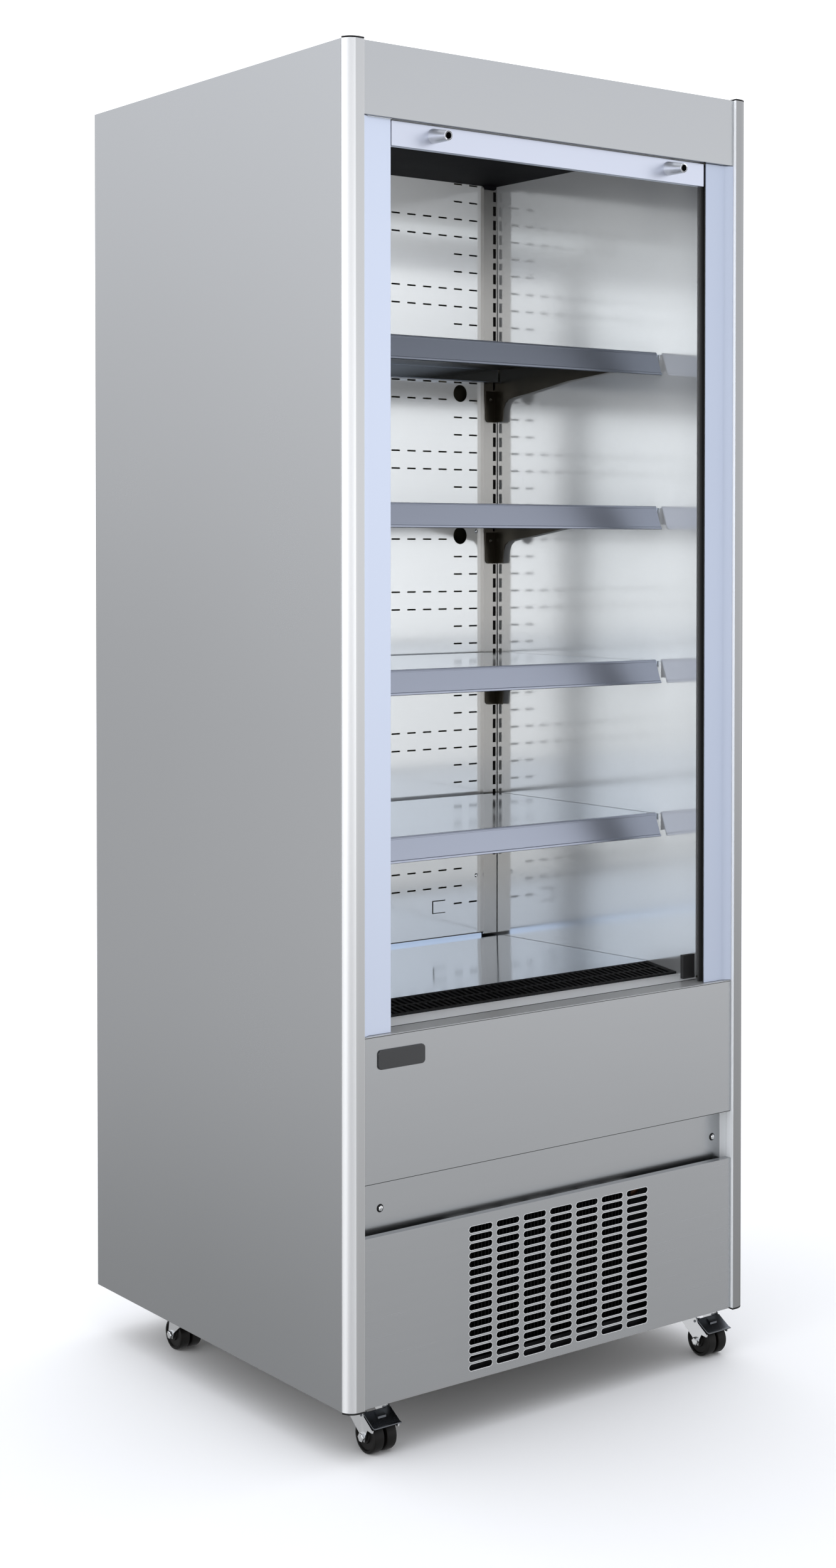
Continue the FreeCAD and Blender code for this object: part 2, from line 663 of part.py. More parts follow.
def shelf(i):
    """Folded shelf; the number counts from the top."""
    z = SHELF_Z - SHELF_PITCH * i - SHELF_DROP
    h = SHELF_W / 2.0
    inner = BRACKET_X - 2.0
    top = box(-h, h, SHELF_S0, SHELF_S1, z - SKIN, z)
    front = box(-inner, inner, SHELF_S0, SHELF_S0 + SKIN, z - SHELF_EDGE, z)
    back = box(-inner, inner, SHELF_S1 - SKIN, SHELF_S1, z - SHELF_EDGE, z)
    lip = box(-inner, inner, SHELF_S1 - 12.0, SHELF_S1, z - SHELF_EDGE, z - SHELF_EDGE + SKIN)
    side = box(h - SKIN, h, SHELF_S0, SHELF_S1, z - 10.0, z)
    return join([top, front, back, lip] + both(side))


def price_rail(z):
    """Extruded rail with a lip above and below the ticket, tilted up to the customer."""
    s = SHELF_S0
    k = RAIL_TILT / RAIL_H
    top = s - 2.0
    low = top - k * (RAIL_H - 1.0)
    pts = [(s, z), (top, z), (top - 1.2, z - 1.2), (top - 1.2 - 2.4 * k, z - 3.6), (top - 3.6 * k, z - 4.0),
           (low + 3.4 * k, z - RAIL_H + 4.4), (low + 2.4 * k - 1.2, z - RAIL_H + 3.8),
           (low - 1.2, z - RAIL_H + 1.0), (low + 1.5, z - RAIL_H), (low + 3.0, z - RAIL_H + 3.0),
           (top + 0.2, z - 6.0), (s - 0.4, z - 6.0), (s - 0.4, z - RAIL_H + 8.0), (s, z - RAIL_H + 8.0)]
    return prism("x", -RAIL_W / 2.0, RAIL_W, pts)


def price_rails():
    return [price_rail(SHELF_Z - SHELF_PITCH * i) for i in range(SHELVES)]


def deck_pan():
    """Lowest display surface: falls to the back, stands on the liner's ledges."""
    h = LINER_X - 1.5
    s0 = DECK_S0
    s1 = DECK_S1
    z0 = DECK_Z0
    z1 = DECK_Z1
    plate = prism("x", -h, 2.0 * h, [(s0, z0 - SKIN), (s0, z0), (s1, z1), (s1, z1 - SKIN)])
    side_pts = [(s0 + 4, LEDGE_Z), (s0 + 4, z0 - SKIN), (s1, z1 - SKIN), (s1, LEDGE_Z)]
    side = prism("x", h - SKIN, SKIN, side_pts)
    front = box(-h, h, s0, s0 + SKIN, z0 - GRILLE_RIM - 2.0, z0 - 0.1)
    rest = z0 - GRILLE_RIM - 2.0 * GAP
    ledge = box(4.0 - h, h - 4.0, s0 - 9.0, s0 + SKIN, rest - SKIN, rest)
    rear = box(-UPRIGHT_X0 + 1.5, UPRIGHT_X0 - 1.5, s1 - SKIN, s1, z1 - SKIN, z1 + 5.0)
    return join([plate, front, ledge, rear] + both(side))


def intake_grille():
    """Two rows of slots in a rimmed frame that falls to the front."""
    h = LINER_X - 1.0
    s0 = GRILLE_S0
    s1 = s0 + GRILLE_L
    count = int((2.0 * h - 14.0) / GRILLE_PITCH)
    first = -GRILLE_PITCH * (count - 1) / 2.0
    r = GRILLE_SLOT_W / 2.0
    holes = []
    for i in range(count):
        x = first + GRILLE_PITCH * i
        for a in (s0 + 4.0, s1 - 4.0 - GRILLE_SLOT_L):
            holes.append(rectangle("z", 0.0, x - r, x + r, a, a + GRILLE_SLOT_L))
    face = sheet("z", GRILLE_T, rectangle("z", 0.0, -h, h, s0, s1), holes)
    front = box(-h, h, s0, s0 + 2.0, GRILLE_T - GRILLE_RIM, GRILLE_T)
    back = box(-h, h, s1 - 2.0, s1, GRILLE_T - GRILLE_RIM, GRILLE_T)
    side = box(h - 2.0, h, s0, s1, GRILLE_T - GRILLE_RIM, GRILLE_T)
    shape = join([face, front, back] + both(side))
    angle = math.degrees(math.asin(GRILLE_DROP / GRILLE_L))
    shape.translate(V(0, 0, DECK_Z0 - GRILLE_T - GAP))
    shape.rotate(V(0, y_at(s1), DECK_Z0), V(1, 0, 0), angle)
    return shape


def sill_cover():
    """Inner half of the sill, stepped down behind to carry the grille."""
    h = LINER_X - GAP
    s1 = GRILLE_S0 - GAP
    z = SILL_Z - 2.0
    plate = box(-h, h, FRONT_WALL_S, s1, z - SKIN, z)
    step = box(-h, h, s1 - SKIN, s1, z - 5.0, z)
    ledge = box(-h, h, s1 - SKIN, s1 + 14.0, z - 6.0, z - 5.0)
    return join([plate, step, ledge])


# ---------------------------------------------------------------- night blind
def blind_brackets():
    """Plates on the jambs with the pins that the roller turns on."""
    x = JAMB_X
    end = ROLLER_W / 2.0
    plate = box(x - 3.0, x, ROLLER_S - 20.0, ROLLER_S + 20.0, ROLLER_Z - 26.0, ROLLER_Z + 26.0)
    boss = rod("x", end + 2.0, x - 3.0 - end - 2.0, ROLLER_S, ROLLER_Z, 9.0)
    pin = rod("x", end - 9.0, x - end + 7.0, ROLLER_S, ROLLER_Z, ROLLER_PIN_R)
    return both(join([plate, boss, pin]))


def blind_roller():
    """Aluminium tube with a bushed plug in each end."""
    h = ROLLER_W / 2.0
    tube = rod("x", -h, ROLLER_W, ROLLER_S, ROLLER_Z, ROLLER_R)
    tube = tube.cut(rod("x", -h + 12.0, ROLLER_W - 24.0, ROLLER_S, ROLLER_Z, ROLLER_R - 1.5))
    bore = rod("x", h - 12.0, 12.0, ROLLER_S, ROLLER_Z, ROLLER_PIN_R + RUNNING)
    return tube.cut(bore).cut(mirror(bore))


def blind_winding():
    """The rolled-up curtain, one closed sleeve round the tube."""
    w = CURTAIN_W
    sleeve = rod("x", -w / 2.0, w, ROLLER_S, ROLLER_Z, WINDING_R)
    return sleeve.cut(rod("x", -w / 2.0, w, ROLLER_S, ROLLER_Z, ROLLER_R))


def blind_curtain():
    """The free stretch from the roll down to the bar."""
    h = CURTAIN_W / 2.0
    return box(-h, h, CURTAIN_S, CURTAIN_S + CURTAIN_T, BAR_Z1, ROLLER_Z)


def blind_bar():
    """Hollow bar along the curtain's hem, with a tongue in each guide."""
    h = BAR_W / 2.0
    s0 = BAR_S
    s1 = BAR_S + BAR_D
    w = BAR_WALL
    shell = box(-h, h, s0, s1, BAR_Z0, BAR_Z1)
    shell = shell.cut(box(-h + 3.0, h - 3.0, s0 + w, s1 - w, BAR_Z0 + w, BAR_Z1 - w))
    tongue = box(h - 3.0, h + 15.0, s0 + 4.0, s1 - 1.5, BAR_Z0 + 4.0, BAR_Z1 - 4.0)
    return join([shell] + both(tongue))


def knob():
    """Tapered hollow knob on the bar."""
    z = BAR_Z1 - 15.0
    length = BAR_S + KNOB_PROUD
    base = V(KNOB_X, y_at(BAR_S), z)
    cone = Part.makeCone(KNOB_R0, KNOB_R1, length, base, V(0, -1, 0))
    bore = Part.makeCylinder(KNOB_BORE_R, length - 4.0, base + V(0, -4.0, 0), V(0, -1, 0))
    return cone.cut(bore)


# ---------------------------------------------------------------- machine and air pieces
def comb(width, depth, height, s, z):
    """Finned coil block: a back plate with upright fins, and an end plate each side."""
    count = int(width / FIN_PITCH)
    step = width / count
    pts = [(-width / 2.0, s + depth), (width / 2.0, s + depth)]
    for i in range(count):
        x = width / 2.0 - step * i
        pts += [(x, s), (x - FIN_T, s), (x - FIN_T, s + depth - 2.0), (x - step, s + depth - 2.0)]
    pts[-1] = (-width / 2.0, s + depth - 2.0)
    return prism("z", z, height, pts)


def row_z(height, z, rows, i):
    """Height of a coil's tube row, counted from the bottom."""
    return z + height / rows * (i + 0.5)


def coil(width, depth, height, s, z, rows):
    """Coil block with end plates, straight tubes and the return bends outside them."""
    h = width / 2.0
    mid = s + depth / 2.0
    block = comb(width, depth, height, s, z)
    plate = box(h, h + 2.0, s - 2.0, s + depth, z, z + height)
    tubes = []
    for i in range(rows):
        tubes.append(rod("x", -h - TUBE_END, width + 2.0 * TUBE_END, mid, row_z(height, z, rows, i), 4.0))
    for i in range(rows - 1):
        x = -h - TUBE_END - 4.0 if i % 2 else h + TUBE_END
        low = row_z(height, z, rows, i) - 4.0
        high = row_z(height, z, rows, i + 1) + 4.0
        tubes.append(box(x, x + 4.0, mid - 4.0, mid + 4.0, low, high))
    return join([block] + both(plate) + tubes)


def fan_centre_z():
    return BODY_Z0 + 2.0 + COIL_H / 2.0 + 6.0


def condenser():
    """Air-cooled coil behind the slotted panel, on two feet."""
    z = fan_centre_z() - COIL_H / 2.0
    body = coil(COIL_W, COIL_D, COIL_H, COIL_S, z, COIL_ROWS)
    foot = box(125.0, 155.0, COIL_S + 10.0, COIL_S + COIL_D - 4.0, BODY_Z0 + 2.0, z + 1.0)
    return join([body] + both(foot))


def fan_mount(s, z0, z1, half, zc, radius, motor_r):
    """Shroud plate with a round opening and the motor held behind it on three arms."""
    plate = sheet("y", 2.0, rectangle("y", s, -half, half, z0, z1), [ring("y", s, 0.0, zc, radius + 4.0)])
    depth = 34.0
    motor = rod("y", s + depth, 26.0, 0.0, zc, motor_r)
    shaft = rod("y", s + depth - 14.0, 14.0, 0.0, zc, 4.0)
    arms = []
    for angle in (90.0, 210.0, 330.0):
        bar = box(motor_r - 4.0, radius + 10.0, s + depth, s + depth + 4.0, zc - 4.0, zc + 4.0)
        post_bar = box(radius + 5.0, radius + 10.0, s, s + depth + 4.0, zc - 4.0, zc + 4.0)
        arm = join([bar, post_bar])
        arm.rotate(V(0, y_at(s), zc), V(0, 1, 0), -angle)
        arms.append(arm)
    return join([plate, motor, shaft] + arms)


def fan_rotor(s, zc, radius, blades):
    """Hub with a shaft bore and pitched blades."""
    depth = 20.0
    hub_r = radius * 0.3
    parts = [rod("y", s, depth, 0.0, zc, hub_r)]
    for i in range(blades):
        blade = box(hub_r - 3.0, radius, s + 9.0, s + 11.0, zc - radius * 0.3, zc + radius * 0.3)
        blade.rotate(V(0, y_at(s + 10.0), zc), V(1, 0, 0), 24.0)
        blade.rotate(V(0, y_at(s), zc), V(0, 1, 0), 360.0 / blades * i)
        parts.append(blade)
    limit = rod("y", s - 20.0, 60.0, 0.0, zc, radius)
    bore = rod("y", s + 4.0, depth, 0.0, zc, 4.0 + RUNNING)
    return join(parts).common(limit).cut(bore)


def compressor():
    """Sealed motor compressor: domed can, base plate and four rubber-cored feet."""
    x = COMPRESSOR_X
    z0 = BODY_Z0 + 2.0
    can = rod("z", z0 + 22.0, COMPRESSOR_TOP - z0 - 22.0, x, COMPRESSOR_S, COMPRESSOR_R)
    edges = [e for e in can.Edges if isinstance(e.Curve, Part.Circle)]
    can = can.makeFillet(26.0, edges)
    base = box(x - 95.0, x + 95.0, COMPRESSOR_S - 70.0, COMPRESSOR_S + 70.0, z0 + 18.0, z0 + 24.0)
    feet = [rod("z", z0, 19.0, x + dx, COMPRESSOR_S + ds, 11.0)
            for dx in (-80.0, 80.0) for ds in (-55.0, 55.0)]
    stub = rod("z", COMPRESSOR_TOP - 8.0, 20.0, x + 40.0, COMPRESSOR_S, PIPE_R + 1.5)
    rim = x + COMPRESSOR_R
    cover = box(rim - 10.0, rim + 24.0, COMPRESSOR_S - 30.0, COMPRESSOR_S + 30.0, z0 + 60.0, z0 + 120.0)
    return join([can, base, stub, cover] + feet)


def pipe_x():
    return -(EVAP_W / 2.0 + 40.0)


def pipe_s():
    return EVAP_S + EVAP_D / 2.0


def pipework():
    """Copper pipe: compressor to condenser, and from the machine space up to the cold coil."""
    foot = fan_centre_z() - COIL_H / 2.0
    high = row_z(COIL_H, foot, COIL_ROWS, COIL_ROWS - 1)
    low = row_z(COIL_H, foot, COIL_ROWS, 0)
    top = row_z(EVAP_H, WELL_Z + 9.0, COIL_ROWS, 0)
    level = COMPRESSOR_TOP + 45.0
    right = COIL_W / 2.0 + 40.0
    left = pipe_x()
    coil_y = y_at(COIL_S + COIL_D / 2.0)
    evap_y = y_at(pipe_s())
    start = point("z", COMPRESSOR_TOP + 12.0, COMPRESSOR_X + 40.0, COMPRESSOR_S)
    hot = [start, V(start.x, start.y, level), V(right, start.y, level), V(right, coil_y, level),
           V(right, coil_y, high), V(COIL_W / 2.0 + TUBE_END, coil_y, high)]
    cold = [V(-COIL_W / 2.0 - TUBE_END, coil_y, low), V(left, coil_y, low), V(left, evap_y, low),
            V(left, evap_y, top), V(-EVAP_W / 2.0 - TUBE_END, evap_y, top)]
    return [tube_path(hot, PIPE_R, 18.0), tube_path(cold, PIPE_R, 18.0)]


def evaporator():
    """Cold coil in the well under the deck, on two feet."""
    z = WELL_Z + 9.0
    body = coil(EVAP_W, EVAP_D, EVAP_H, EVAP_S, z, COIL_ROWS)
    foot = box(190.0, 210.0, EVAP_S + 20.0, EVAP_S + EVAP_D - 4.0, WELL_Z, z + 1.0)
    return join([body] + both(foot))


def evap_centre_z():
    return WELL_Z + 74.0


def control_box():
    """Controller and terminals, hung under the insulated floor."""
    shell = box(215.0, 335.0, 60.0, 200.0, FLOOR_Z - 78.0, FLOOR_Z)
    shell = shell.makeFillet(5.0, [e for e in shell.Edges if abs(e.tangentAt(e.FirstParameter).z) > 0.9])
    gland = rod("y", 200.0, 12.0, 275.0, FLOOR_Z - 40.0, 9.0)
    return join([shell, gland])


def power_inlet():
    """Three-pin inlet set in the back panel."""
    x = INLET_X
    z = INLET_Z
    s = BACK_S
    flange = box(x - 25.0, x + 25.0, s - 2.0, s, z - 15.0, z + 15.0)
    shell = box(x - 13.7, x + 13.7, s - 24.0, s + SKIN, z - 9.7, z + 9.7)
    cavity = box(x - 11.5, x + 11.5, s - 20.0, s + SKIN, z - 7.8, z + 7.8)
    pins = [box(x + dx - 1.0, x + dx + 1.0, s - 21.0, s - 5.0, z + dz - 2.0, z + dz + 2.0)
            for dx, dz in ((-7.0, -1.5), (0.0, 2.5), (7.0, -1.5))]
    return join([join([flange, shell]).cut(cavity)] + pins)


# ---------------------------------------------------------------- castors
def castor_plate(x, s):
    """Fixed top of a castor: plate, upper ball race and kingpin."""
    h = PLATE_SIDE / 2.0
    plate = box(x - h, x + h, s - h, s + h, PLATE_Z, BODY_Z0)
    plate = plate.makeFillet(7.0, [e for e in plate.Edges if abs(e.tangentAt(e.FirstParameter).z) > 0.9])
    race = rod("z", fork_top() + GAP, PLATE_Z - fork_top() - GAP, x, s, 21.0)
    pin = rod("z", fork_top() - 8.0, 12.0, x, s, KINGPIN_R)
    head = rod("z", fork_top() - 8.0, 8.0 - FORK_T - GAP, x, s, 7.5)
    return join([plate, race, pin, head])


def fork_top():
    return PLATE_Z - 9.0


def castor_plates():
    return [castor_plate(x, s) for s in CASTOR_S for x in CASTOR_X]


def fork(x, s, way, braked):
    """Pressed fork with its riveted axle; way is -1 where the wheel trails to the front."""
    top = fork_top()
    axle_s = s + way * TRAIL

    def at(u):
        return s + way * u

    crown = rod("z", top - FORK_T, FORK_T, x, s, 22.0)
    bridge = box(x - FORK_IN - FORK_T, x + FORK_IN + FORK_T, min(at(-16), at(16)), max(at(-16), at(16)),
                 top - FORK_T, top)
    kingpin_bore = rod("z", top - FORK_T - 1.0, FORK_T + 2.0, x, s, KINGPIN_R + RUNNING)
    top_plate = join([crown, bridge]).cut(kingpin_bore)
    wing = [(TRAIL + 3, top - 12)]
    if braked:
        wing = [(TRAIL + 4, top - 13), (TRAIL + 24, 41), (TRAIL + 23, 37), (TRAIL + 12, 38)]
    edge = [(-16, top), (16, top)] + wing + [(TRAIL + 7, AXLE_Z + 4), (TRAIL + 5, AXLE_Z - 6),
                                            (TRAIL - 5, AXLE_Z - 6), (TRAIL - 8, AXLE_Z + 4), (-12, top - 20)]
    pts = [(at(u), z) for u, z in edge]
    sides = []
    for a in (x - FORK_IN - FORK_T, x + FORK_IN):
        side = prism("x", a, FORK_T, pts)
        if braked:
            pin_bore = rod("x", a - 1.0, FORK_T + 2.0, at(TRAIL - 3.0), pedal_z(), PEDAL_PIN_R + RUNNING)
            side = side.cut(pin_bore)
        sides.append(side)
    axle = rod("x", x - FORK_IN - FORK_T - 4.0, 2.0 * (FORK_IN + FORK_T + 4.0), axle_s, AXLE_Z, AXLE_R)
    nuts = [hexagon(x - FORK_IN - FORK_T - 3.5, axle_s, 3.5), hexagon(x + FORK_IN + FORK_T, axle_s, 3.5)]
    return join([top_plate, axle] + sides + nuts)


def hexagon(a, s, length):
    turns = [math.radians(60 * i) for i in range(6)]
    pts = [(s + 6.5 * math.cos(turn), AXLE_Z + 6.5 * math.sin(turn)) for turn in turns]
    return prism("x", a, length, pts)


def pedal_z():
    return 56.0


def wheel(x, axle_s):
    """Twin plastic wheel: two rounded tyres on one hub."""
    h = WHEEL_W / 2.0
    tyres = []
    for a in (-h, WHEEL_GAP / 2.0):
        tyre = rod("x", x + a, WHEEL_T, axle_s, AXLE_Z, WHEEL_R)
        edges = [e for e in tyre.Edges if isinstance(e.Curve, Part.Circle)]
        tyre = tyre.makeFillet(2.5, edges)
        side = x + a if a < 0 else x + a + WHEEL_T - 2.0
        dish = rod("x", side, 2.0, axle_s, AXLE_Z, 19.0).cut(rod("x", side, 2.0, axle_s, AXLE_Z, 8.0))
        tyres.append(tyre.cut(dish))
    hub = rod("x", x - h, WHEEL_W, axle_s, AXLE_Z, 8.0)
    return join(tyres + [hub]).cut(rod("x", x - h - 1.0, WHEEL_W + 2.0, axle_s, AXLE_Z, AXLE_R + RUNNING))


def pedal(x, s):
    """Brake pedal: folded plate over the tyre, shoe below it, ears and pin in the fork."""
    hinge = s - TRAIL + 3.0
    z = pedal_z()
    w = FORK_IN + FORK_T

    def at(u):
        return hinge - u

    plate_pts = [(at(6), z + 1.9), (at(6), z + 3.5), (at(28), z - 9.8), (at(33), z - 10.6),
                 (at(33), z - 12.2), (at(27.6), z - 11.4)]
    plate = prism("x", x - w, 2.0 * w, plate_pts)
    ear_pts = [(at(-4), z - 3), (at(-4), z + 3), (at(3.2), z + 4.6), (at(9), z + 1), (at(4), z - 3)]
    ear = prism("x", x + 16.0, 4.0, ear_pts)
    ears = [ear, ear.copy()]
    ears[1].translate(V(-36.0, 0, 0))
    pin = rod("x", x - w - 1.0, 2.0 * w + 2.0, hinge, z, PEDAL_PIN_R)
    shoe_pts = [(at(9), z + 0.6), (at(22), z - 7.2), (at(20.6), z - 9.4), (at(7.6), z - 1.6)]
    shoe = prism("x", x - 14.0, 28.0, shoe_pts)
    tab_pts = [(at(9), z + 1.2), (at(9), z + 4.4), (at(18), z - 1.0), (at(18), z - 4.0)]
    tab = prism("x", x - 7.0, 14.0, tab_pts)
    return join([plate, pin, shoe, tab] + ears)


# ---------------------------------------------------------------- every piece
def main():
    os.makedirs("parts", exist_ok=True)
    save("foam_body", foam_body())
    save("base_pan", base_pan())
    save("side_skin_right", side_skin())
    save("side_skin_left", mirror(side_skin()))
    save("back_skin", back_skin())
    save("roof_skin", roof_skin())
    save("liner_right", liner())
    save("liner_left", mirror(liner()))
    save("duct_panel", duct_panel())
    save("ceiling_panel", ceiling_panel())
    save("air_outlet", air_outlet())
    save("lamp", lamp())
    save("fascia", fascia())
    save("front_panel", front_panel())
    save("screw_strip", screw_strip())
    save("panel_screws", panel_screws())
    save("vent_panel", vent_panel())
    save("badge_plate", badge_plate())
    save("post_right", post())
    save("post_left", mirror(post()))
    save("post_caps", post_caps())
    save("opening_strips", opening_strips())
    save("blind_guides", blind_guides())
    save("uprights", uprights())
    save("shelf_brackets", shelf_brackets())
    for i in range(SHELVES):
        save("shelf_%d" % (i + 1), shelf(i))
    save("price_rails", price_rails())
    save("deck_pan", deck_pan())
    save("intake_grille", intake_grille())
    save("sill_cover", sill_cover())
    save("blind_brackets", blind_brackets())
    save("blind_roller", blind_roller())
    save("blind_winding", blind_winding())
    save("blind_curtain", blind_curtain())
    save("blind_bar", blind_bar())
    save("bar_knobs", both(knob()))
    save("condenser", condenser())
    zc = fan_centre_z()
    mount_s = COIL_S + COIL_D + 2.0
    mount_top = zc + COIL_H / 2.0
    save("fan_mount", fan_mount(mount_s, BODY_Z0 + 2.0, mount_top, COIL_W / 2.0, zc, FAN_R, 34.0))
    save("fan_blades", fan_rotor(COIL_S + COIL_D + 9.0, zc, FAN_R, 5))
    save("compressor", compressor())
    save("pipework", pipework())
    save("evaporator", evaporator())
    ec = evap_centre_z()
    save("evap_fan_mount", fan_mount(EVAP_FAN_S, WELL_Z, LEDGE_Z - 3.0, LINER_X - GAP, ec, EVAP_FAN_R, 22.0))
    save("evap_fan_blades", fan_rotor(EVAP_FAN_S + 7.0, ec, EVAP_FAN_R, 5))
    save("control_box", control_box())
    save("power_inlet", power_inlet())
    save("castor_plates", castor_plates())
    for end, s, way in (("front", CASTOR_S[0], -1), ("rear", CASTOR_S[1], 1)):
        for side, x in (("left", CASTOR_X[0]), ("right", CASTOR_X[1])):
            save("fork_%s_%s" % (end, side), fork(x, s, way, end == "front"))
            save("wheel_%s_%s" % (end, side), wheel(x, s + way * TRAIL))
            if end == "front":
                save("pedal_%s_%s" % (end, side), pedal(x, s))


main()
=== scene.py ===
# %% [markdown]
# # An open display fridge, dressed for the studio
# The cabinet's sheets, frames and castors come from the imported CAD model and stay where it puts them.
# This lesson gives each of them a finish, mostly the one that the real piece has and on some parts painted
# light or shade, rebuilds the ones whose rounded edges catch light, and sets up a camera, a floor and a
# room. Everything is in metres: X is the width, the open front faces -Y, and Z is up from the floor.

# %% Load the frame
import bpy
import bmesh
import json
import math
from mathutils import Matrix, Vector


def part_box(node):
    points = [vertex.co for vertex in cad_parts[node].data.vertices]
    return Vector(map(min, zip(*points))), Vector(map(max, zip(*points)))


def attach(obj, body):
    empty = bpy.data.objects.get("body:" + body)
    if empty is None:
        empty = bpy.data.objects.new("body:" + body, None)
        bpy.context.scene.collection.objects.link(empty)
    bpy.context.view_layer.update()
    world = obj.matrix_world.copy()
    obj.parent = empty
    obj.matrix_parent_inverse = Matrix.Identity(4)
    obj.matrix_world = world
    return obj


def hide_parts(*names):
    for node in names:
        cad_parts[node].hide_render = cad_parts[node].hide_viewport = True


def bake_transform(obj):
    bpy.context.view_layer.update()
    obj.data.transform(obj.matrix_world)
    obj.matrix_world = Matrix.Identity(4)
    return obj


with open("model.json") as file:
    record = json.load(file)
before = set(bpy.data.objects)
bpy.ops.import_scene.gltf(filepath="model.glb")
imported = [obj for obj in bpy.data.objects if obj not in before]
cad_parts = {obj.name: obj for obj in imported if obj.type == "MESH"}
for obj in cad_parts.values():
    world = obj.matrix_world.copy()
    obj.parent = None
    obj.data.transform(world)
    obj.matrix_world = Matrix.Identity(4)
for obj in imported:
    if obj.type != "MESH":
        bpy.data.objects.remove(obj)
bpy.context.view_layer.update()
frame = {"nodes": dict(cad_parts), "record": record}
nodes = frame["nodes"]
record_slots = {entry["node"]: entry["material_slot"] for entry in frame["record"]["subparts"]}
body_of_node = {n: body for body, members in frame["record"]["behaviour"]["bodies"].items() for n in members}
print("loaded", len(nodes), "CAD nodes")

# %% [markdown]
# ## Shader maths as plain expressions
# A brushed or moulded finish is a few patterns added and scaled. Wiring Math nodes by hand hides that,
# so one small class wraps a socket and turns Python's operators into nodes. Colours go through Mix
# nodes, because a Math node would turn them grey.

# %% A socket that can be added and multiplied
class Field:
    """A value that varies over a surface: one output socket in a finish's node tree."""

    def __init__(self, finish, socket):
        self.finish = finish
        self.socket = socket

    def maths(self, operation, other, clamp=False):
        settings = {"operation": operation, "use_clamp": clamp}
        return self.finish.node("ShaderNodeMath", settings, {0: self, 1: other})

    def __add__(self, other):
        return self.maths("ADD", other)

    def __sub__(self, other):
        return self.maths("SUBTRACT", other)

    def __mul__(self, other):
        return self.maths("MULTIPLY", other)

    def clamped(self):
        return self.maths("ADD", 0.0, clamp=True)


# %% A finish: one material and the ways to build its patterns
class Finish:
    """A procedural material on a piece's own Object coordinates."""

    def __init__(self, name, colour, **shader):
        self.material = bpy.data.materials.new(name)
        self.material.use_nodes = True
        self.tree = self.material.node_tree
        self.shader = self.tree.nodes["Principled BSDF"]
        self.shader.inputs["Base Color"].default_value = (*colour, 1.0)
        self.material.diffuse_color = (*colour, 1.0)
        for socket, value in shader.items():
            self.shader.inputs[socket.replace("_", " ")].default_value = value
        self.place = self.node("ShaderNodeTexCoord", {}, {}, "Object")

    def node(self, kind, settings, inputs, output=0):
        """A new node with its settings and inputs filled in, as the Field of one of its outputs."""
        made = self.tree.nodes.new(kind)
        for name, value in settings.items():
            setattr(made, name, value)
        for key, value in inputs.items():
            self.link(value, made.inputs[key])
        return Field(self, made.outputs[output])

    def link(self, value, socket):
        """Joins a Field to a socket, or sets the socket to a plain number or colour."""
        if isinstance(value, Field):
            self.tree.links.new(value.socket, socket)
        elif socket.type == "RGBA":
            socket.default_value = (*value, 1.0)
        else:
            socket.default_value = value

    def stretched(self, scale):
        """The piece's coordinates with each axis scaled by its own amount."""
        inputs = {"Vector": self.place, "Scale": scale}
        return self.node("ShaderNodeMapping", {"vector_type": "POINT"}, inputs)

    def noise(self, scale, detail=2.0, stretch=(1.0, 1.0, 1.0)):
        inputs = {"Vector": self.stretched(stretch), "Scale": scale, "Detail": detail}
        return self.node("ShaderNodeTexNoise", {}, inputs)

    def axis(self, letter):
        return self.node("ShaderNodeSeparateXYZ", {}, {0: self.place}, letter)

    def blend(self, amount, first, second):
        """A colour between two colours."""
        return self.node("ShaderNodeMix", {"data_type": "RGBA"}, {0: amount, 6: first, 7: second}, 2)

    def ramp(self, amount, stops):
        """A colour ramp through (position, colour) stops."""
        made = self.tree.nodes.new("ShaderNodeValToRGB")
        points = made.color_ramp.elements
        while len(points) < len(stops):
            points.new(0.5)
        for point, (position, colour) in zip(points, stops):
            point.position = position
            point.color = (*colour, 1.0)
        self.link(amount, made.inputs[0])
        return Field(self, made.outputs[0])

    def bump(self, height, strength, distance):
        inputs = {"Height": height, "Strength": strength, "Distance": distance}
        self.shade("Normal", self.node("ShaderNodeBump", {}, inputs))

    def shade(self, socket, value):
        self.link(value, self.shader.inputs[socket])


def darker_and_lighter(colour, tone):
    """The two colours that a surface's slight change of tone runs between."""
    dark = tuple(c * (1.0 - tone) for c in colour)
    light = tuple(min(1.0, c * (1.0 + tone)) for c in colour)
    return dark, light


# %% [markdown]
# ## Sheet metal
# Nearly everything on this cabinet is stainless sheet. Its grain runs one way, so its pattern is noise
# stretched hard along that way: it moves the roughness a little and shades the colour less. The lining
# is polished further than the outside, so it mirrors the shelves and the back. A real sheet also
# scatters some light, so a few finishes are part metal and part matt.

# %% Brushed steel
ALONG_X = (6.0, 700.0, 700.0)
ALONG_Y = (900.0, 9.0, 900.0)
ALONG_Z = (700.0, 700.0, 4.0)
NO_GRAIN = (80.0, 80.0, 80.0)
CLOUD_SCALE = 2.3
LINE_SHARE = 0.55
GRAIN_BUMP = 0.03
GRAIN_DEPTH = 0.0002


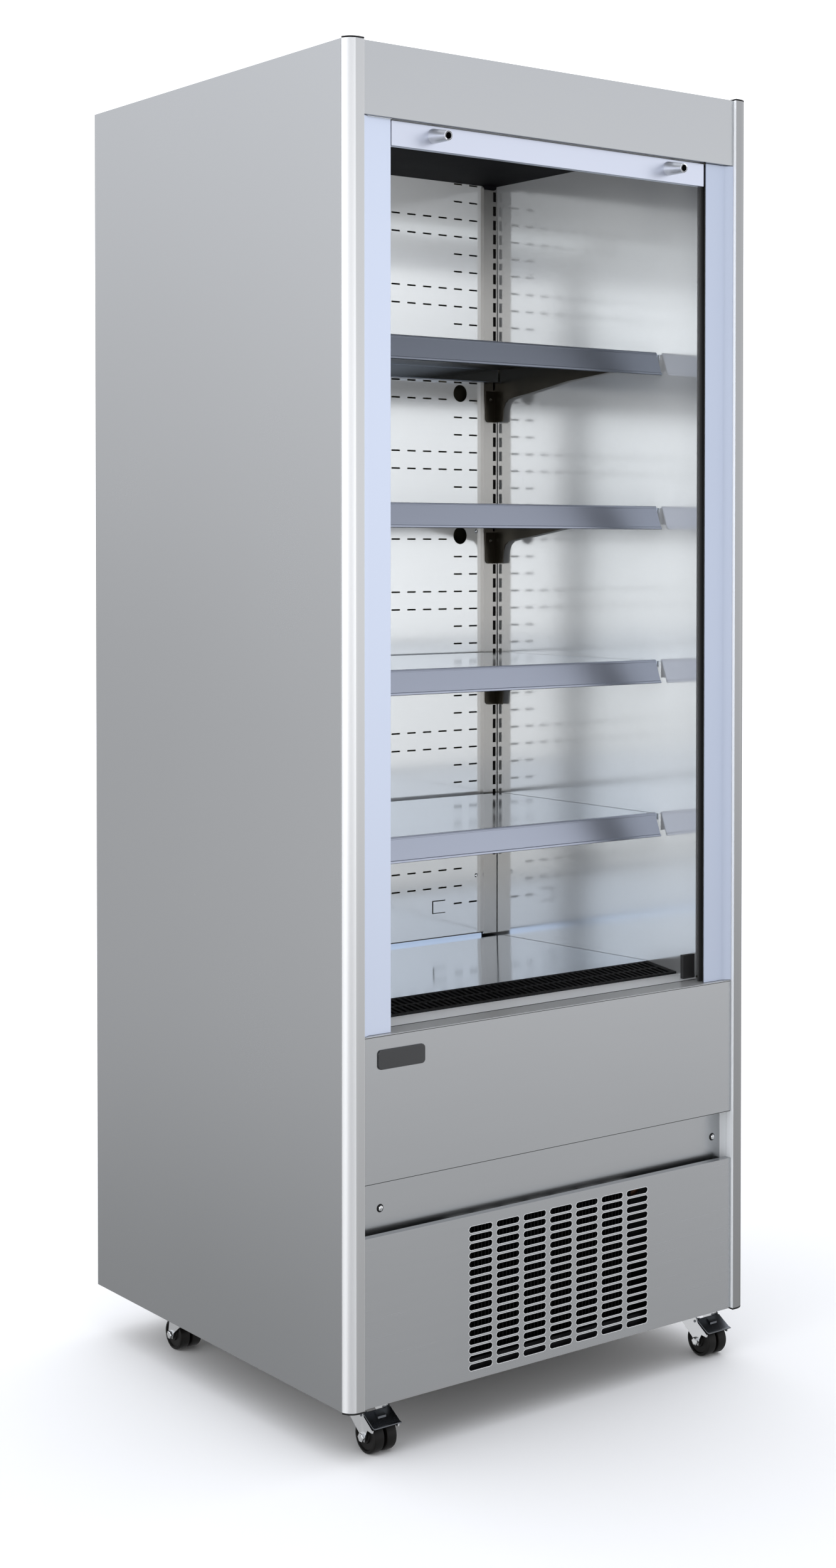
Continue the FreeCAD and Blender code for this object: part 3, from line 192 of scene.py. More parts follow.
def brushed(name, colour, roughness, grain, spread=0.08, tone=0.06, metal=1.0):
    """Metal with fine grain; the smallest number in grain is the way that it was brushed."""
    finish = Finish(name, colour, Metallic=metal, Roughness=roughness)
    lines = finish.noise(1.0, 3.0, grain)
    clouds = finish.noise(CLOUD_SCALE)
    uneven = (clouds - 0.5) * (spread * 0.6)
    finish.shade("Roughness", lines * spread + (roughness - spread * 0.5) + uneven)
    amount = (lines * LINE_SHARE + clouds * (1.0 - LINE_SHARE)).clamped()
    finish.shade("Base Color", finish.blend(amount, *darker_and_lighter(colour, tone)))
    finish.bump(lines, GRAIN_BUMP, GRAIN_DEPTH)
    return finish


# %% [markdown]
# ## Paint, plastic and castings
# Moulded and painted pieces have no grain. What tells them apart from a flat colour is a fine orange
# peel or a matt texture in the roughness and the bump, and a slight change of tone.

# %% Moulded and painted pieces
PORES = 700.0
PORE_DEPTH = 0.0003
PATCHES = 11.0
PATCH_TONE = 0.12


def moulded(name, colour, roughness, bump=0.12, **shader):
    """Plastic or paint with a fine even texture."""
    finish = Finish(name, colour, Roughness=roughness, **shader)
    fine = finish.noise(PORES, 3.0)
    broad = finish.noise(PATCHES, 3.0)
    finish.shade("Roughness", (fine * 0.16 + broad * 0.1 + (roughness - 0.13)).clamped())
    finish.shade("Base Color", finish.blend(broad, *darker_and_lighter(colour, PATCH_TONE)))
    finish.bump(fine, bump, PORE_DEPTH)
    return finish


# %% [markdown]
# ## Woven cloth
# The night blind is a plain weave. Two sine waves at right angles make the threads, and their product
# is both the tone and the height. On the roll the waves follow the strip's own UV, because the cloth
# turns there.

# %% Cloth of the night blind
THREAD = 0.0016
THREAD_DEPTH = 0.0004
GAP_TONE = 0.82
FUZZ_SCALE = 40.0


def woven(name, colour, layer=None):
    """Plain weave on Object coordinates, or on a UV layer if one is named."""
    finish = Finish(name, colour, Roughness=0.9)
    if layer:
        finish.place = finish.node("ShaderNodeUVMap", {"uv_map": layer}, {})
    along = finish.axis("X") * (math.tau / THREAD)
    down = finish.axis("Y" if layer else "Z") * (math.tau / THREAD)
    weft = finish.node("ShaderNodeMath", {"operation": "SINE"}, {0: along}) * 0.5 + 0.5
    warp = finish.node("ShaderNodeMath", {"operation": "SINE"}, {0: down}) * 0.5 + 0.5
    weave = weft * warp
    dark = tuple(c * GAP_TONE for c in colour)
    amount = (weave + finish.noise(FUZZ_SCALE) * 0.3).clamped()
    finish.shade("Base Color", finish.blend(amount, dark, colour))
    finish.shade("Roughness", weave * 0.1 + 0.85)
    finish.bump(weave, 0.25, THREAD_DEPTH)
    return finish


# %% [markdown]
# ## The finishes of this cabinet
# Each finish is a name, a colour, a roughness and the way of its grain. Sheets that were cut from one
# coil share their grain's spread and tone. A few nodes look different from their slot's usual colour,
# and `other_finish` says which; on the brackets, the base tray and the right post that colour is painted
# shade, and on the outlet grid painted light.

# %% Metals
sheet = {"spread": 0.05, "tone": 0.02}
polished = {"spread": 0.03, "tone": 0.02}
BLIND_COLOUR = (0.62, 0.63, 0.63)
LAMP_GLOW = 1.0
finishes = {
    "outer_steel": brushed("outer steel", (0.41, 0.42, 0.43), 0.26, ALONG_X, **sheet),
    "inner_steel": brushed("lining steel", (0.95, 0.965, 0.97), 0.12, ALONG_X, **polished, metal=0.66),
    "upright_steel": brushed("upright steel", (0.50, 0.485, 0.46), 0.25, ALONG_Z, spread=0.04, tone=0.03),
    # The shelf steel's strong blue tint is a painted reflection of bluish light.
    "shelf_steel": brushed("shelf steel with painted blue reflection", (0.74, 0.84, 1.0), 0.10, ALONG_Y, **polished),
    "post_aluminium": brushed("post aluminium", (0.47, 0.475, 0.48), 0.30, ALONG_Z, **sheet),
    # The inner sides of the right post and of the screw strip's end are aluminium made near white and matt:
    # painted light.
    "side_painted_light": brushed("inner side painted light", (0.95, 0.97, 0.99), 0.35, ALONG_Z, tone=0.02, metal=0.1),
    # The left post's rounding and folded sides are its aluminium made lighter: painted sheen.
    "rounding_painted_sheen": brushed("post rounding painted sheen", (0.66, 0.665, 0.67), 0.34, ALONG_Z, tone=0.02, metal=0.6),
    # The blue tint of the opening strips, the price rails and the blind bar is a painted reflection of bluish
    # light, and the rails' darker tone is painted shade.
    "strip_aluminium": brushed("strip aluminium", (0.60, 0.655, 0.78), 0.46, ALONG_Z, **sheet),
    "rail_aluminium": brushed("rail aluminium", (0.41, 0.44, 0.52), 0.33, ALONG_X, **sheet),
    "bar_aluminium": brushed("bar aluminium", (0.55, 0.58, 0.67), 0.34, ALONG_X, **sheet),
    # The right post is the left post's aluminium made darker: painted shade.
    "post_painted_shade": brushed("right post painted shade", (0.30, 0.303, 0.307), 0.30, ALONG_Z, **sheet),
    # The right strip is the left strip's aluminium made darker: painted shade.
    "strip_painted_shade": brushed("right strip painted shade", (0.48, 0.53, 0.64), 0.46, ALONG_Z, **sheet),
    # The top rail is the other rails' aluminium made darker: painted shade.
    "rail_painted_shade": brushed("top rail painted shade", (0.29, 0.315, 0.37), 0.33, ALONG_X, **sheet),
    "knob_aluminium": brushed("knob aluminium", (0.86, 0.88, 0.92), 0.30, NO_GRAIN, tone=0.02, metal=0.8),
    "sill_steel": brushed("sill steel", (1.0, 1.0, 0.98), 0.3, ALONG_X, **sheet, metal=0.12),
    # The front panel's top flange is the panel's steel in a tone of its own: painted shade.
    "flange_painted_shade": brushed("panel flange painted shade", (0.56, 0.56, 0.55), 0.3, ALONG_X, **sheet, metal=0.4),
    # The slot rims are the vent panel's steel made much lighter: painted highlight.
    "rim_painted_highlight": brushed("rim painted highlight", (0.80, 0.81, 0.82), 0.25, NO_GRAIN, tone=0.03, metal=0.75),
    "galvanised": brushed("galvanised sheet", (0.50, 0.52, 0.54), 0.48, NO_GRAIN),
    "zinc_steel": brushed("zinc plate", (0.74, 0.75, 0.76), 0.24, NO_GRAIN, spread=0.05, tone=0.04),
    # The shelf brackets' near-black brown is painted shade under the shelves.
    "bracket_painted_shade": brushed("bracket painted shade", (0.085, 0.077, 0.062), 0.33, NO_GRAIN, tone=0.08),
    # The shelves' undersides are their steel made near black and brown: painted shade.
    "underside_painted_shade": brushed("shelf underside painted shade", (0.045, 0.037, 0.024), 0.42, ALONG_X),
    "pedal_steel": brushed("dark zinc", (0.16, 0.17, 0.185), 0.28, NO_GRAIN, spread=0.05, tone=0.05),
    # The copper is made dark so that the pipe behind the vent slots looks dark: painted shade.
    "copper": brushed("copper painted shade", (0.32, 0.16, 0.10), 0.45, NO_GRAIN),
    "fin_aluminium": brushed("fins", (0.70, 0.71, 0.72), 0.4, ALONG_Z),
    "screw_steel": brushed("bright screw", (0.80, 0.81, 0.82), 0.18, NO_GRAIN, spread=0.04),
}

# %% Paint, plastic, foam and cloth
finishes.update({
    "black_paint": moulded("black paint", (0.004, 0.004, 0.005), 0.7, Specular_IOR_Level=0.06),
    "guide_black": moulded("guide channel", (0.042, 0.042, 0.042), 0.45),
    "black_plastic": moulded("black plastic", (0.007, 0.007, 0.007), 0.45, Specular_IOR_Level=0.25),
    "badge_black": moulded("badge gloss", (0.008, 0.009, 0.011), 0.2, bump=0.02, Coat_Weight=0.5),
    # The air outlet grid is pale grey so that the top bay's back, which mirrors it, looks lighter: painted
    # light.
    "outlet_painted_light": moulded("outlet grid painted light", (0.78, 0.78, 0.78), 0.6),
    "lamp_lens": moulded("opal lens", (0.8, 0.81, 0.81), 0.35, Emission_Color=(0.95, 0.98, 1.0, 1.0),
                         Emission_Strength=LAMP_GLOW),
    # The foam is made dark brown so that the holes into it look dark: painted shade.
    "insulation": moulded("foam", (0.13, 0.12, 0.09), 0.9, Specular_IOR_Level=0.1),
    # The base tray is galvanised sheet made black so that the slots in front of it look dark: painted shade.
    "tray_painted_shade": moulded("chassis tray painted shade", (0.006, 0.006, 0.007), 0.6, Specular_IOR_Level=0.15),
    "wheel_black": moulded("wheel tread", (0.005, 0.0045, 0.004), 0.45, Specular_IOR_Level=0.16),
    "motor_black": moulded("compressor enamel", (0.005, 0.005, 0.0055), 0.5, Specular_IOR_Level=0.15),
    "fan_plastic": moulded("fan plastic", (0.04, 0.04, 0.04), 0.5),
    "control_grey": moulded("control box", (0.42, 0.43, 0.44), 0.5),
    "blind_cloth": woven("blind cloth", BLIND_COLOUR),
    "wound_cloth": woven("wound blind cloth", BLIND_COLOUR, "cloth"),
})

# %% A finish on every CAD node
other_finish = {"blind_guides": "guide_black", "shelf_brackets": "bracket_painted_shade", "air_outlet": "outlet_painted_light",
                "base_pan": "tray_painted_shade", "post_right": "post_painted_shade"}
finish_of = {name: other_finish.get(name, slot) for name, slot in record_slots.items()}
for name, node in nodes.items():
    node.data.materials.clear()
    node.data.materials.append(finishes[finish_of[name]].material)
print("finishes", len(finishes))

# %% [markdown]
# ## Edges that catch light
# A bent sheet or a moulded cap has no perfectly sharp edge, and the thin bright line along a bend is
# what tells the eye that it is metal. The CAD pieces are sharp, so each one that shows is copied, its
# loose triangles are merged, flat regions are cleared of their extra edges, and the sharp edges get a
# small bevel. The copy stands for its CAD node and rides on the same body.

# %% Copying a CAD piece with rounded edges
WELD = 0.00002
FLAT_ANGLE = math.radians(0.5)
SHARP_ANGLE = math.radians(35.0)
BEVEL_SEGMENTS = 2
FLAT_WEIGHT = 80


def merged_copy(node):
    """The CAD node's mesh as one welded shell in a bmesh."""
    shell = bmesh.new()
    shell.from_mesh(nodes[node].data)
    bmesh.ops.remove_doubles(shell, verts=shell.verts[:], dist=WELD)
    bmesh.ops.dissolve_limit(shell, angle_limit=FLAT_ANGLE, use_dissolve_boundaries=False,
                             verts=shell.verts[:], edges=shell.edges[:])
    return shell


def round_edges(shell, width):
    """Bevels the edges that turn by more than the sharp angle."""
    sharp = [e for e in shell.edges if e.is_manifold and e.calc_face_angle() > SHARP_ANGLE]
    bmesh.ops.bevel(shell, geom=sharp, offset=width, offset_type="OFFSET", affect="EDGES",
                    segments=BEVEL_SEGMENTS, profile=0.5, material=-1, clamp_overlap=True)


def finished(name, shell, coats, body, replaced=(), smooth=40.0):
    """Turns a bmesh into a piece: shading, finishes, body, and the CAD nodes that it stands for."""
    mesh = bpy.data.meshes.new(name)
    shell.to_mesh(mesh)
    shell.free()
    mesh.polygons.foreach_set("use_smooth", [True] * len(mesh.polygons))
    mesh.set_sharp_from_angle(angle=math.radians(smooth))
    for coat in coats:
        mesh.materials.append(finishes[coat].material)
    made = bpy.data.objects.new(name, mesh)
    bpy.context.scene.collection.objects.link(made)
    flat = made.modifiers.new("flat faces stay flat", "WEIGHTED_NORMAL")
    flat.weight = FLAT_WEIGHT
    flat.keep_sharp = True
    if body:
        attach(made, body)
    if replaced:
        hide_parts(*replaced)
    return made


def eased(node, width, second=None, second_where=None):
    """The CAD node with rounded edges in its own finish, and a second finish where a test on a face holds."""
    shell = merged_copy(node)
    if width:
        round_edges(shell, width)
    coats = [finish_of[node]]
    if second:
        coats.append(second)
        for face in shell.faces:
            face.material_index = int(second_where(face))
    return finished(node + "_eased", shell, coats, body_of_node[node], [node])


# %% The sheets, frames and castings in one finish each
SHEET_EDGE = 0.0004
PANEL_EDGE = 0.0008
FRAME_EDGE = 0.0005
FINE_EDGE = 0.0003
CAP_EDGE = 0.0006
BADGE_EDGE = 0.0010
SHARP = 0.0
edge_of = {
    "side_skin_left": SHEET_EDGE, "side_skin_right": SHEET_EDGE, "fascia": PANEL_EDGE,
    "badge_plate": BADGE_EDGE, "post_caps": CAP_EDGE, "blind_guides": SHEET_EDGE, "deck_pan": SHEET_EDGE,
    "sill_cover": SHEET_EDGE, "blind_bar": PANEL_EDGE, "back_skin": SHEET_EDGE, "roof_skin": SHEET_EDGE,
    "uprights": FINE_EDGE, "shelf_brackets": FINE_EDGE, "castor_plates": FRAME_EDGE, "compressor": SHARP,
    "pipework": SHARP, "fork_front_left": SHARP, "fork_front_right": SHARP, "fork_rear_left": SHARP,
    "fork_rear_right": SHARP, "pedal_front_left": SHEET_EDGE, "pedal_front_right": SHEET_EDGE,
}
for node, width in edge_of.items():
    eased(node, width)
print("eased", len(edge_of), "pieces")

# %% [markdown]
# ## Pieces with two finishes
# A piece can be polished on one side and dull on another. Its second finish also paints light or shade: a
# side or part is made darker or lighter for how light falls on it. A small test on a face says which finish
# it gets.

# %% Tests on a face
FACING = 0.7
ROUNDING = 0.25
LEVEL = 0.9
RIGHT_EDGE_X = 0.33
TOP_RAIL_Z = 1.55
HEAD_RING_Y = (-0.3180, -0.3100)


def faces_down(face):
    """True on the underside of a shelf, which gets painted shade."""
    return face.normal.z < -FACING


def faces_up(face):
    """True on the top flange of the front panel, which gets painted shade."""
    return face.normal.z > LEVEL


def faces_aside(face):
    """True on the rounding and the folded sides of a post, which get painted sheen."""
    return abs(face.normal.x) > ROUNDING


def faces_middle(face):
    """True near the right edge on a side that looks towards the middle of the cabinet, which gets painted
    light.
    """
    return face.calc_center_median().x > RIGHT_EDGE_X and face.normal.x < -FACING


def right_half(face):
    """True on the strip at the right of the opening, which is painted darker as shade."""
    return face.calc_center_median().x > 0.0


def top_rail(face):
    """True on the price rail of the top shelf, which is painted darker as shade."""
    return face.calc_center_median().z > TOP_RAIL_Z


def head_ring_painted_shade(face):
    """True on the ring where a strip screw's head meets the sheet, which is black as painted shade."""
    return HEAD_RING_Y[0] < face.calc_center_median().y < HEAD_RING_Y[1]


# %% Shelves, frame, front panels and screws
# Second finishes here are painted shade on the shelves' undersides, the right strip, the top rail, the panel
# flange and the screws' head rings, and painted light on the posts' sides and the screw strip's end.
for number in range(1, 5):
    eased(f"shelf_{number}", SHEET_EDGE, "underside_painted_shade", faces_down)
eased("opening_strips", FRAME_EDGE, "strip_painted_shade", right_half)
eased("price_rails", SHEET_EDGE, "rail_painted_shade", top_rail)
eased("post_left", FRAME_EDGE, "rounding_painted_sheen", faces_aside)
eased("post_right", FRAME_EDGE, "side_painted_light", faces_middle)
eased("screw_strip", FRAME_EDGE, "side_painted_light", faces_middle)
eased("front_panel", PANEL_EDGE, "flange_painted_shade", faces_up)
eased("vent_panel", SHARP)
eased("panel_screws", SHARP, "black_plastic", head_ring_painted_shade)

# %% [markdown]
# ## Rims of the ventilation slots
# The slots are punched, which rolls their edges over, and each edge catches the light as a fine bright
# line; the rims are also lighter than the sheet, a painted highlight. One small section, drawn across the
# edge of a slot, is carried round the slot's outline.

# %% Rolled rims
SLOT_X = 0.0050
SLOT_TOP_Z = 0.2995
SLOT_STEP_X = 0.0514
SLOT_STEP_Z = 0.01265
SLOT_COLUMNS = 7
SLOT_ROWS = 17
SLOT_LONG = 0.0434
SLOT_HIGH = 0.0092
RIM_SECTION = [(0.0009, -0.00003), (0.0006, -0.00015), (0.00025, -0.00005), (0.0, 0.0002),
               (-0.00004, 0.0006), (-0.00004, 0.0009), (0.0009, 0.0009)]
HALF_ROUND_STEPS = 10


def slot_outline(place, grown, depth):
    """Points round one slot with half-round ends, grown outwards and set back from the sheet's face."""
    radius = SLOT_HIGH / 2.0 + grown
    reach = (SLOT_LONG - SLOT_HIGH) / 2.0
    points = []
    for side in (1.0, -1.0):
        for step in range(HALF_ROUND_STEPS + 1):
            angle = math.pi * step / HALF_ROUND_STEPS - math.pi / 2.0
            across = side * (reach + radius * math.cos(angle))
            points.append(place + Vector((across, depth, side * radius * math.sin(angle))))
    return points


def add_rim(shell, place):
    """A closed rim round the slot whose middle is at a place."""
    loops = [[shell.verts.new(point) for point in slot_outline(place, *corner)] for corner in RIM_SECTION]
    for inner, outer in zip(loops, loops[1:] + loops[:1]):
        for here in range(len(inner)):
            there = (here + 1) % len(inner)
            shell.faces.new((inner[here], inner[there], outer[there], outer[here]))


vent_face_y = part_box("vent_panel")[0][1]
rims = bmesh.new()
for column in range(SLOT_COLUMNS):
    for row in range(SLOT_ROWS):
        slot_x = SLOT_X + SLOT_STEP_X * (column - (SLOT_COLUMNS - 1) / 2.0)
        add_rim(rims, Vector((slot_x, vent_face_y, SLOT_TOP_Z - SLOT_STEP_Z * row)))
bmesh.ops.recalc_face_normals(rims, faces=rims.faces[:])
finished("slot_rims", rims, ["rim_painted_highlight"], body_of_node["vent_panel"],
         smooth=80.0)

# %% [markdown]
# ## Painted shadows
# Behind the uprights' slots it is dark, and a dark line marks where the lower front panel meets its
# neighbours. Thin black strips paint both shadows: one behind each upright, and three along the panel's
# edges.

# %% Painted shade behind the uprights' slots
def painted_shade_strips(name, boxes, node):
    """Thin black boxes of painted shade, each given by two corners, on the body of a CAD node."""
    shell = bmesh.new()
    for low, high in boxes:
        low, high = Vector(low), Vector(high)
        made = bmesh.ops.create_cube(shell, size=1.0)["verts"]
        bmesh.ops.scale(shell, vec=high - low, verts=made)
        bmesh.ops.translate(shell, vec=(low + high) / 2.0, verts=made)
    return finished(name, shell, ["black_plastic"], body_of_node[node])


SHADE_STRIP_X = (0.3080, 0.3335)
SHADE_STRIP_Y = (0.2299, 0.2307)
SHADE_STRIP_SHORT = 0.002
upright_low, upright_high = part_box("uprights")
for side, name in ((-1.0, "upright_backing_left"), (1.0, "upright_backing_right")):
    near, far = sorted(side * x for x in SHADE_STRIP_X)
    foot = (near, SHADE_STRIP_Y[0], upright_low[2] + SHADE_STRIP_SHORT)
    head = (far, SHADE_STRIP_Y[1], upright_high[2] - SHADE_STRIP_SHORT)
    painted_shade_strips(name, [(foot, head)], "uprights")

# %% Painted shadow lines of the lower front panel
SHADOW_LINE_PROUD = 0.0001
SHADOW_LINE_HIGH = 0.0008
SHADOW_LINE_DEEP = 0.0030
SHADOW_LINE_TOP_DROP = 0.0012
SHADOW_LINE_FOOT_RISE = 0.0002
SHADOW_LINE_SHORT = 0.002
FLANGE_D = 0.041
panel_low, panel_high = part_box("front_panel")
sill_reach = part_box("sill_cover")[1][0] - 0.001
flange_back = panel_low[1] + FLANGE_D


def face_shadow_line(low_z, high_z):
    """A strip of painted shadow across the panel's face between two heights, as two corners."""
    return ((panel_low[0] + SHADOW_LINE_SHORT, panel_low[1] - SHADOW_LINE_PROUD, low_z),
            (panel_high[0] - SHADOW_LINE_SHORT, panel_low[1] + SHADOW_LINE_PROUD, high_z))


flange_shadow_line = ((-sill_reach, flange_back - SHADOW_LINE_DEEP, panel_high[2] - SHADOW_LINE_PROUD),
               (sill_reach, flange_back, panel_high[2] + SHADOW_LINE_PROUD))
top_shadow_line = face_shadow_line(panel_high[2] - SHADOW_LINE_TOP_DROP - SHADOW_LINE_HIGH, panel_high[2] - SHADOW_LINE_TOP_DROP)
foot_shadow_line = face_shadow_line(panel_low[2] + SHADOW_LINE_FOOT_RISE, panel_low[2] + SHADOW_LINE_FOOT_RISE + SHADOW_LINE_HIGH)
painted_shade_strips("panel_painted_shadows", [flange_shadow_line, top_shadow_line, foot_shadow_line], "front_panel")

# %% [markdown]
# ## The blind's knobs
# Each knob is a hollow cone with a bright rim and a dark bore. In the photograph the knobs lean down a
# little, so they are turned about their foot and set back by the amount that keeps the foot in the bar.

# %% Knobs with a dark bore
KNOB_X = 0.229
KNOB_Z = 1.881
KNOB_BASE_Y = -0.333
KNOB_EDGE = 0.0006
KNOB_LEAN = math.radians(6.0)
KNOB_SUNK = 0.0011
BORE_R = 0.0052
BORE_FOOT_Y = -0.336


def bore_painted_shade(face):
    """True on the inside of a knob, in front of the bar, which is black as painted shade."""
    place = face.calc_center_median()
    return math.hypot(abs(place.x) - KNOB_X, place.z - KNOB_Z) < BORE_R and place.y < BORE_FOOT_Y


knob_shell = merged_copy("bar_knobs")
round_edges(knob_shell, KNOB_EDGE)
for face in knob_shell.faces:
    # The bore gets black plastic: painted shade inside the hollow knob.
    face.material_index = int(bore_painted_shade(face))
bmesh.ops.rotate(knob_shell, verts=knob_shell.verts[:], cent=(0.0, KNOB_BASE_Y, KNOB_Z),
                 matrix=Matrix.Rotation(KNOB_LEAN, 3, "X"))
bmesh.ops.translate(knob_shell, verts=knob_shell.verts[:], vec=(0.0, KNOB_SUNK, 0.0))
finished("bar_knobs_eased", knob_shell, ["knob_aluminium", "black_plastic"], body_of_node["bar_knobs"],
         ["bar_knobs"])

# %% [markdown]
# ## Twin castor wheels
# A twin wheel is two moulded discs on one hub, each with a rounded tread and a dished side round a raised
# boss. All of that is one outline spun about the axle, which is how such a wheel is drawn on paper.

# %% Twin wheels
WHEEL_BORE_R = 0.00408
WHEEL_BOSS_R = 0.0095
WHEEL_GROOVE = 0.002
WHEEL_STEPS = 64
TREAD_EDGE = 0.003
TREAD_CUT = TREAD_EDGE * 0.3
DISH_DEPTH = 0.0022


def wheel_outline(half, tread):
    """Half a twin wheel's outline as (across, radius), from the bore at the outer side to the middle."""
    dish = half - DISH_DEPTH
    groove = WHEEL_GROOVE
    return [(half, WHEEL_BORE_R), (half, WHEEL_BOSS_R), (dish, WHEEL_BOSS_R + 0.001), (dish, tread - 0.006),
            (half, tread - 0.0045), (half, tread - TREAD_EDGE), (half - TREAD_CUT, tread - TREAD_CUT),
            (half - TREAD_EDGE, tread), (groove + TREAD_EDGE, tread), (groove + TREAD_CUT, tread - TREAD_CUT),
            (groove, tread - TREAD_EDGE), (groove, WHEEL_BOSS_R)]


def twin_wheel(node):
    """One castor wheel, spun about its axle."""
    low, high = (Vector(corner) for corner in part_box(node))
    middle = (low + high) / 2.0
    outline = wheel_outline((high.x - low.x) / 2.0, (high.z - low.z) / 2.0)
    outline += [(-across, radius) for across, radius in reversed(outline)]
    shell = bmesh.new()
    ring = [shell.verts.new(middle + Vector((across, 0.0, radius))) for across, radius in outline]
    edges = [shell.edges.new(pair) for pair in zip(ring, ring[1:] + ring[:1])]
    bmesh.ops.spin(shell, geom=ring + edges, cent=middle, axis=(1.0, 0.0, 0.0), angle=math.tau,
                   steps=WHEEL_STEPS, use_merge=True, use_duplicate=False)
    bmesh.ops.remove_doubles(shell, verts=shell.verts[:], dist=0.00001)
    bmesh.ops.recalc_face_normals(shell, faces=shell.faces[:])
    return finished(node + "_twin", shell, ["wheel_black"], body_of_node[node], [node], smooth=32.0)


wheels = [twin_wheel(node) for node in nodes if node.startswith("wheel_")]
print("wheels", len(wheels))

# %% [markdown]
# ## The night blind's cloth
# The cloth is one long strip. Most of it is wound on the roller, so the roll is a spiral: one edge of the
# strip is extruded, turned and moved out a little, a few hundred times. The free end hangs from the roll to
# the bar.

# %% Cloth wound on the roller
CLOTH_W = 0.600
CLOTH_T = 0.0003
ROLL_R0 = 0.0142
ROLL_R1 = 0.0195
ROLL_PITCH = 0.00042
ROLL_STEPS = 40
ROLL_TURNS = (ROLL_R1 - ROLL_R0) / ROLL_PITCH
roll_low, roll_high = (Vector(corner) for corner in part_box("blind_winding"))
roll_axis = (roll_low + roll_high) / 2.0


def spiral(turns, steps):
    """A strip of cloth wound on the roller's axis, with its length along the strip as UV."""
    shell = bmesh.new()
    sheet_uv = shell.loops.layers.uv.new("cloth")
    start_z = roll_axis.z + ROLL_R0
    ends = [shell.verts.new((side * CLOTH_W / 2.0, roll_axis.y, start_z)) for side in (-1.0, 1.0)]
    edge = shell.edges.new(ends)
    turn = Matrix.Rotation(math.tau / steps, 3, "X")
    along = 0.0
    radius = ROLL_R0
    for _ in range(int(turns * steps)):
        grown = radius + ROLL_PITCH / steps
        made = bmesh.ops.extrude_edge_only(shell, edges=[edge])["geom"]
        verts = [g for g in made if isinstance(g, bmesh.types.BMVert)]
        bmesh.ops.rotate(shell, verts=verts, cent=roll_axis, matrix=turn)
        for vert in verts:
            out = Vector((0.0, vert.co.y - roll_axis.y, vert.co.z - roll_axis.z))
            vert.co += out.normalized() * (grown - radius)
        face = next(g for g in made if isinstance(g, bmesh.types.BMFace))
        reach = radius * math.tau / steps
        for loop in face.loops:
            loop[sheet_uv].uv = (loop.vert.co.x, along + (reach if loop.vert in verts else 0.0))
        edge = next(g for g in made if isinstance(g, bmesh.types.BMEdge) and all(v in verts for v in g.verts))
        along += reach
        radius = grown
    return shell, along


def thickened(cloth):
    """Gives a sheet of cloth its thickness, half to each side."""
    wall = cloth.modifiers.new("cloth thickness", "SOLIDIFY")
    wall.thickness = CLOTH_T
    wall.offset = 0.0


roll_shell, wound_length = spiral(ROLL_TURNS, ROLL_STEPS)
roll = finished("blind_roll_cloth", roll_shell, ["wound_cloth"], body_of_node["blind_winding"],
                ["blind_winding"], smooth=80.0)
thickened(roll)
print("wound cloth", round(wound_length, 3), "m")

# %% Free cloth between the roll and the bar
free_low, free_high = (Vector(corner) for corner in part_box("blind_curtain"))
free_y = (free_low.y + free_high.y) / 2.0
free_length = free_high.z - free_low.z
free_middle_z = free_low.z + free_length / 2.0
free_shell = bmesh.new()
bmesh.ops.create_grid(free_shell, x_segments=24, y_segments=12, size=0.5)
bmesh.ops.scale(free_shell, vec=(CLOTH_W, free_length, 1.0), verts=free_shell.verts[:])
bmesh.ops.rotate(free_shell, verts=free_shell.verts[:], matrix=Matrix.Rotation(math.pi / 2.0, 3, "X"))
bmesh.ops.translate(free_shell, verts=free_shell.verts[:], vec=(0.0, free_y, free_middle_z))
free_cloth = finished("blind_free_cloth", free_shell, ["blind_cloth"], None, ["blind_curtain"])
thickened(free_cloth)
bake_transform(free_cloth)
print("free cloth", round(free_length, 3), "m")

# %% [markdown]
# ## Camera
# The photograph was taken from the front left, a little above the middle of the cabinet. The lens is
# long and the frame is shifted down, which keeps the posts upright.

# %% Camera
EYE = (-2.2093, -2.9260, 1.2909)
YAW = math.radians(36.970)
PITCH = math.radians(1.196)
LENS = 52.206
SHIFT_Y = -0.1194
camera_data = bpy.data.cameras.new("camera")
camera = bpy.data.objects.new("camera", camera_data)
bpy.context.scene.collection.objects.link(camera)
camera.location = EYE
camera.rotation_euler = (math.pi / 2.0 - PITCH, 0.0, -YAW)
camera_data.lens = LENS
camera_data.sensor_width = 36.0
camera_data.shift_y = SHIFT_Y
camera_data.clip_end = 50.0
bpy.context.scene.camera = camera
bpy.context.scene.view_settings.view_transform = "Standard"

# %% [markdown]
# ## Studio floor
# The floor is pale paper that takes the cabinet's shadow. It is left out of reflections, so the polished
# sheets mirror the room alone, and the room's own lower half stands in for the floor there.

# %% Floor
FLOOR_HALF = 12.0


def studio_floor():
    """A large sheet of pale paper."""
    shell = bmesh.new()
    bmesh.ops.create_grid(shell, x_segments=1, y_segments=1, size=FLOOR_HALF)
    mesh = bpy.data.meshes.new("studio_floor")
    shell.to_mesh(mesh)
    shell.free()
    mesh.materials.append(Finish("floor paper", (0.985, 0.975, 0.955), Roughness=1.0).material)
    made = bpy.data.objects.new("studio_floor", mesh)
    bpy.context.scene.collection.objects.link(made)
    made.visible_glossy = False


studio_floor()

# %% [markdown]
# ## Fill lights
# The room reaches the back of the display space only through the opening. Two soft lamps help it: one in
# front that shines up into the bays, and one under the top panel for the top bay. Neither shows in the
# polished steel, so they brighten only the matt share of each finish.

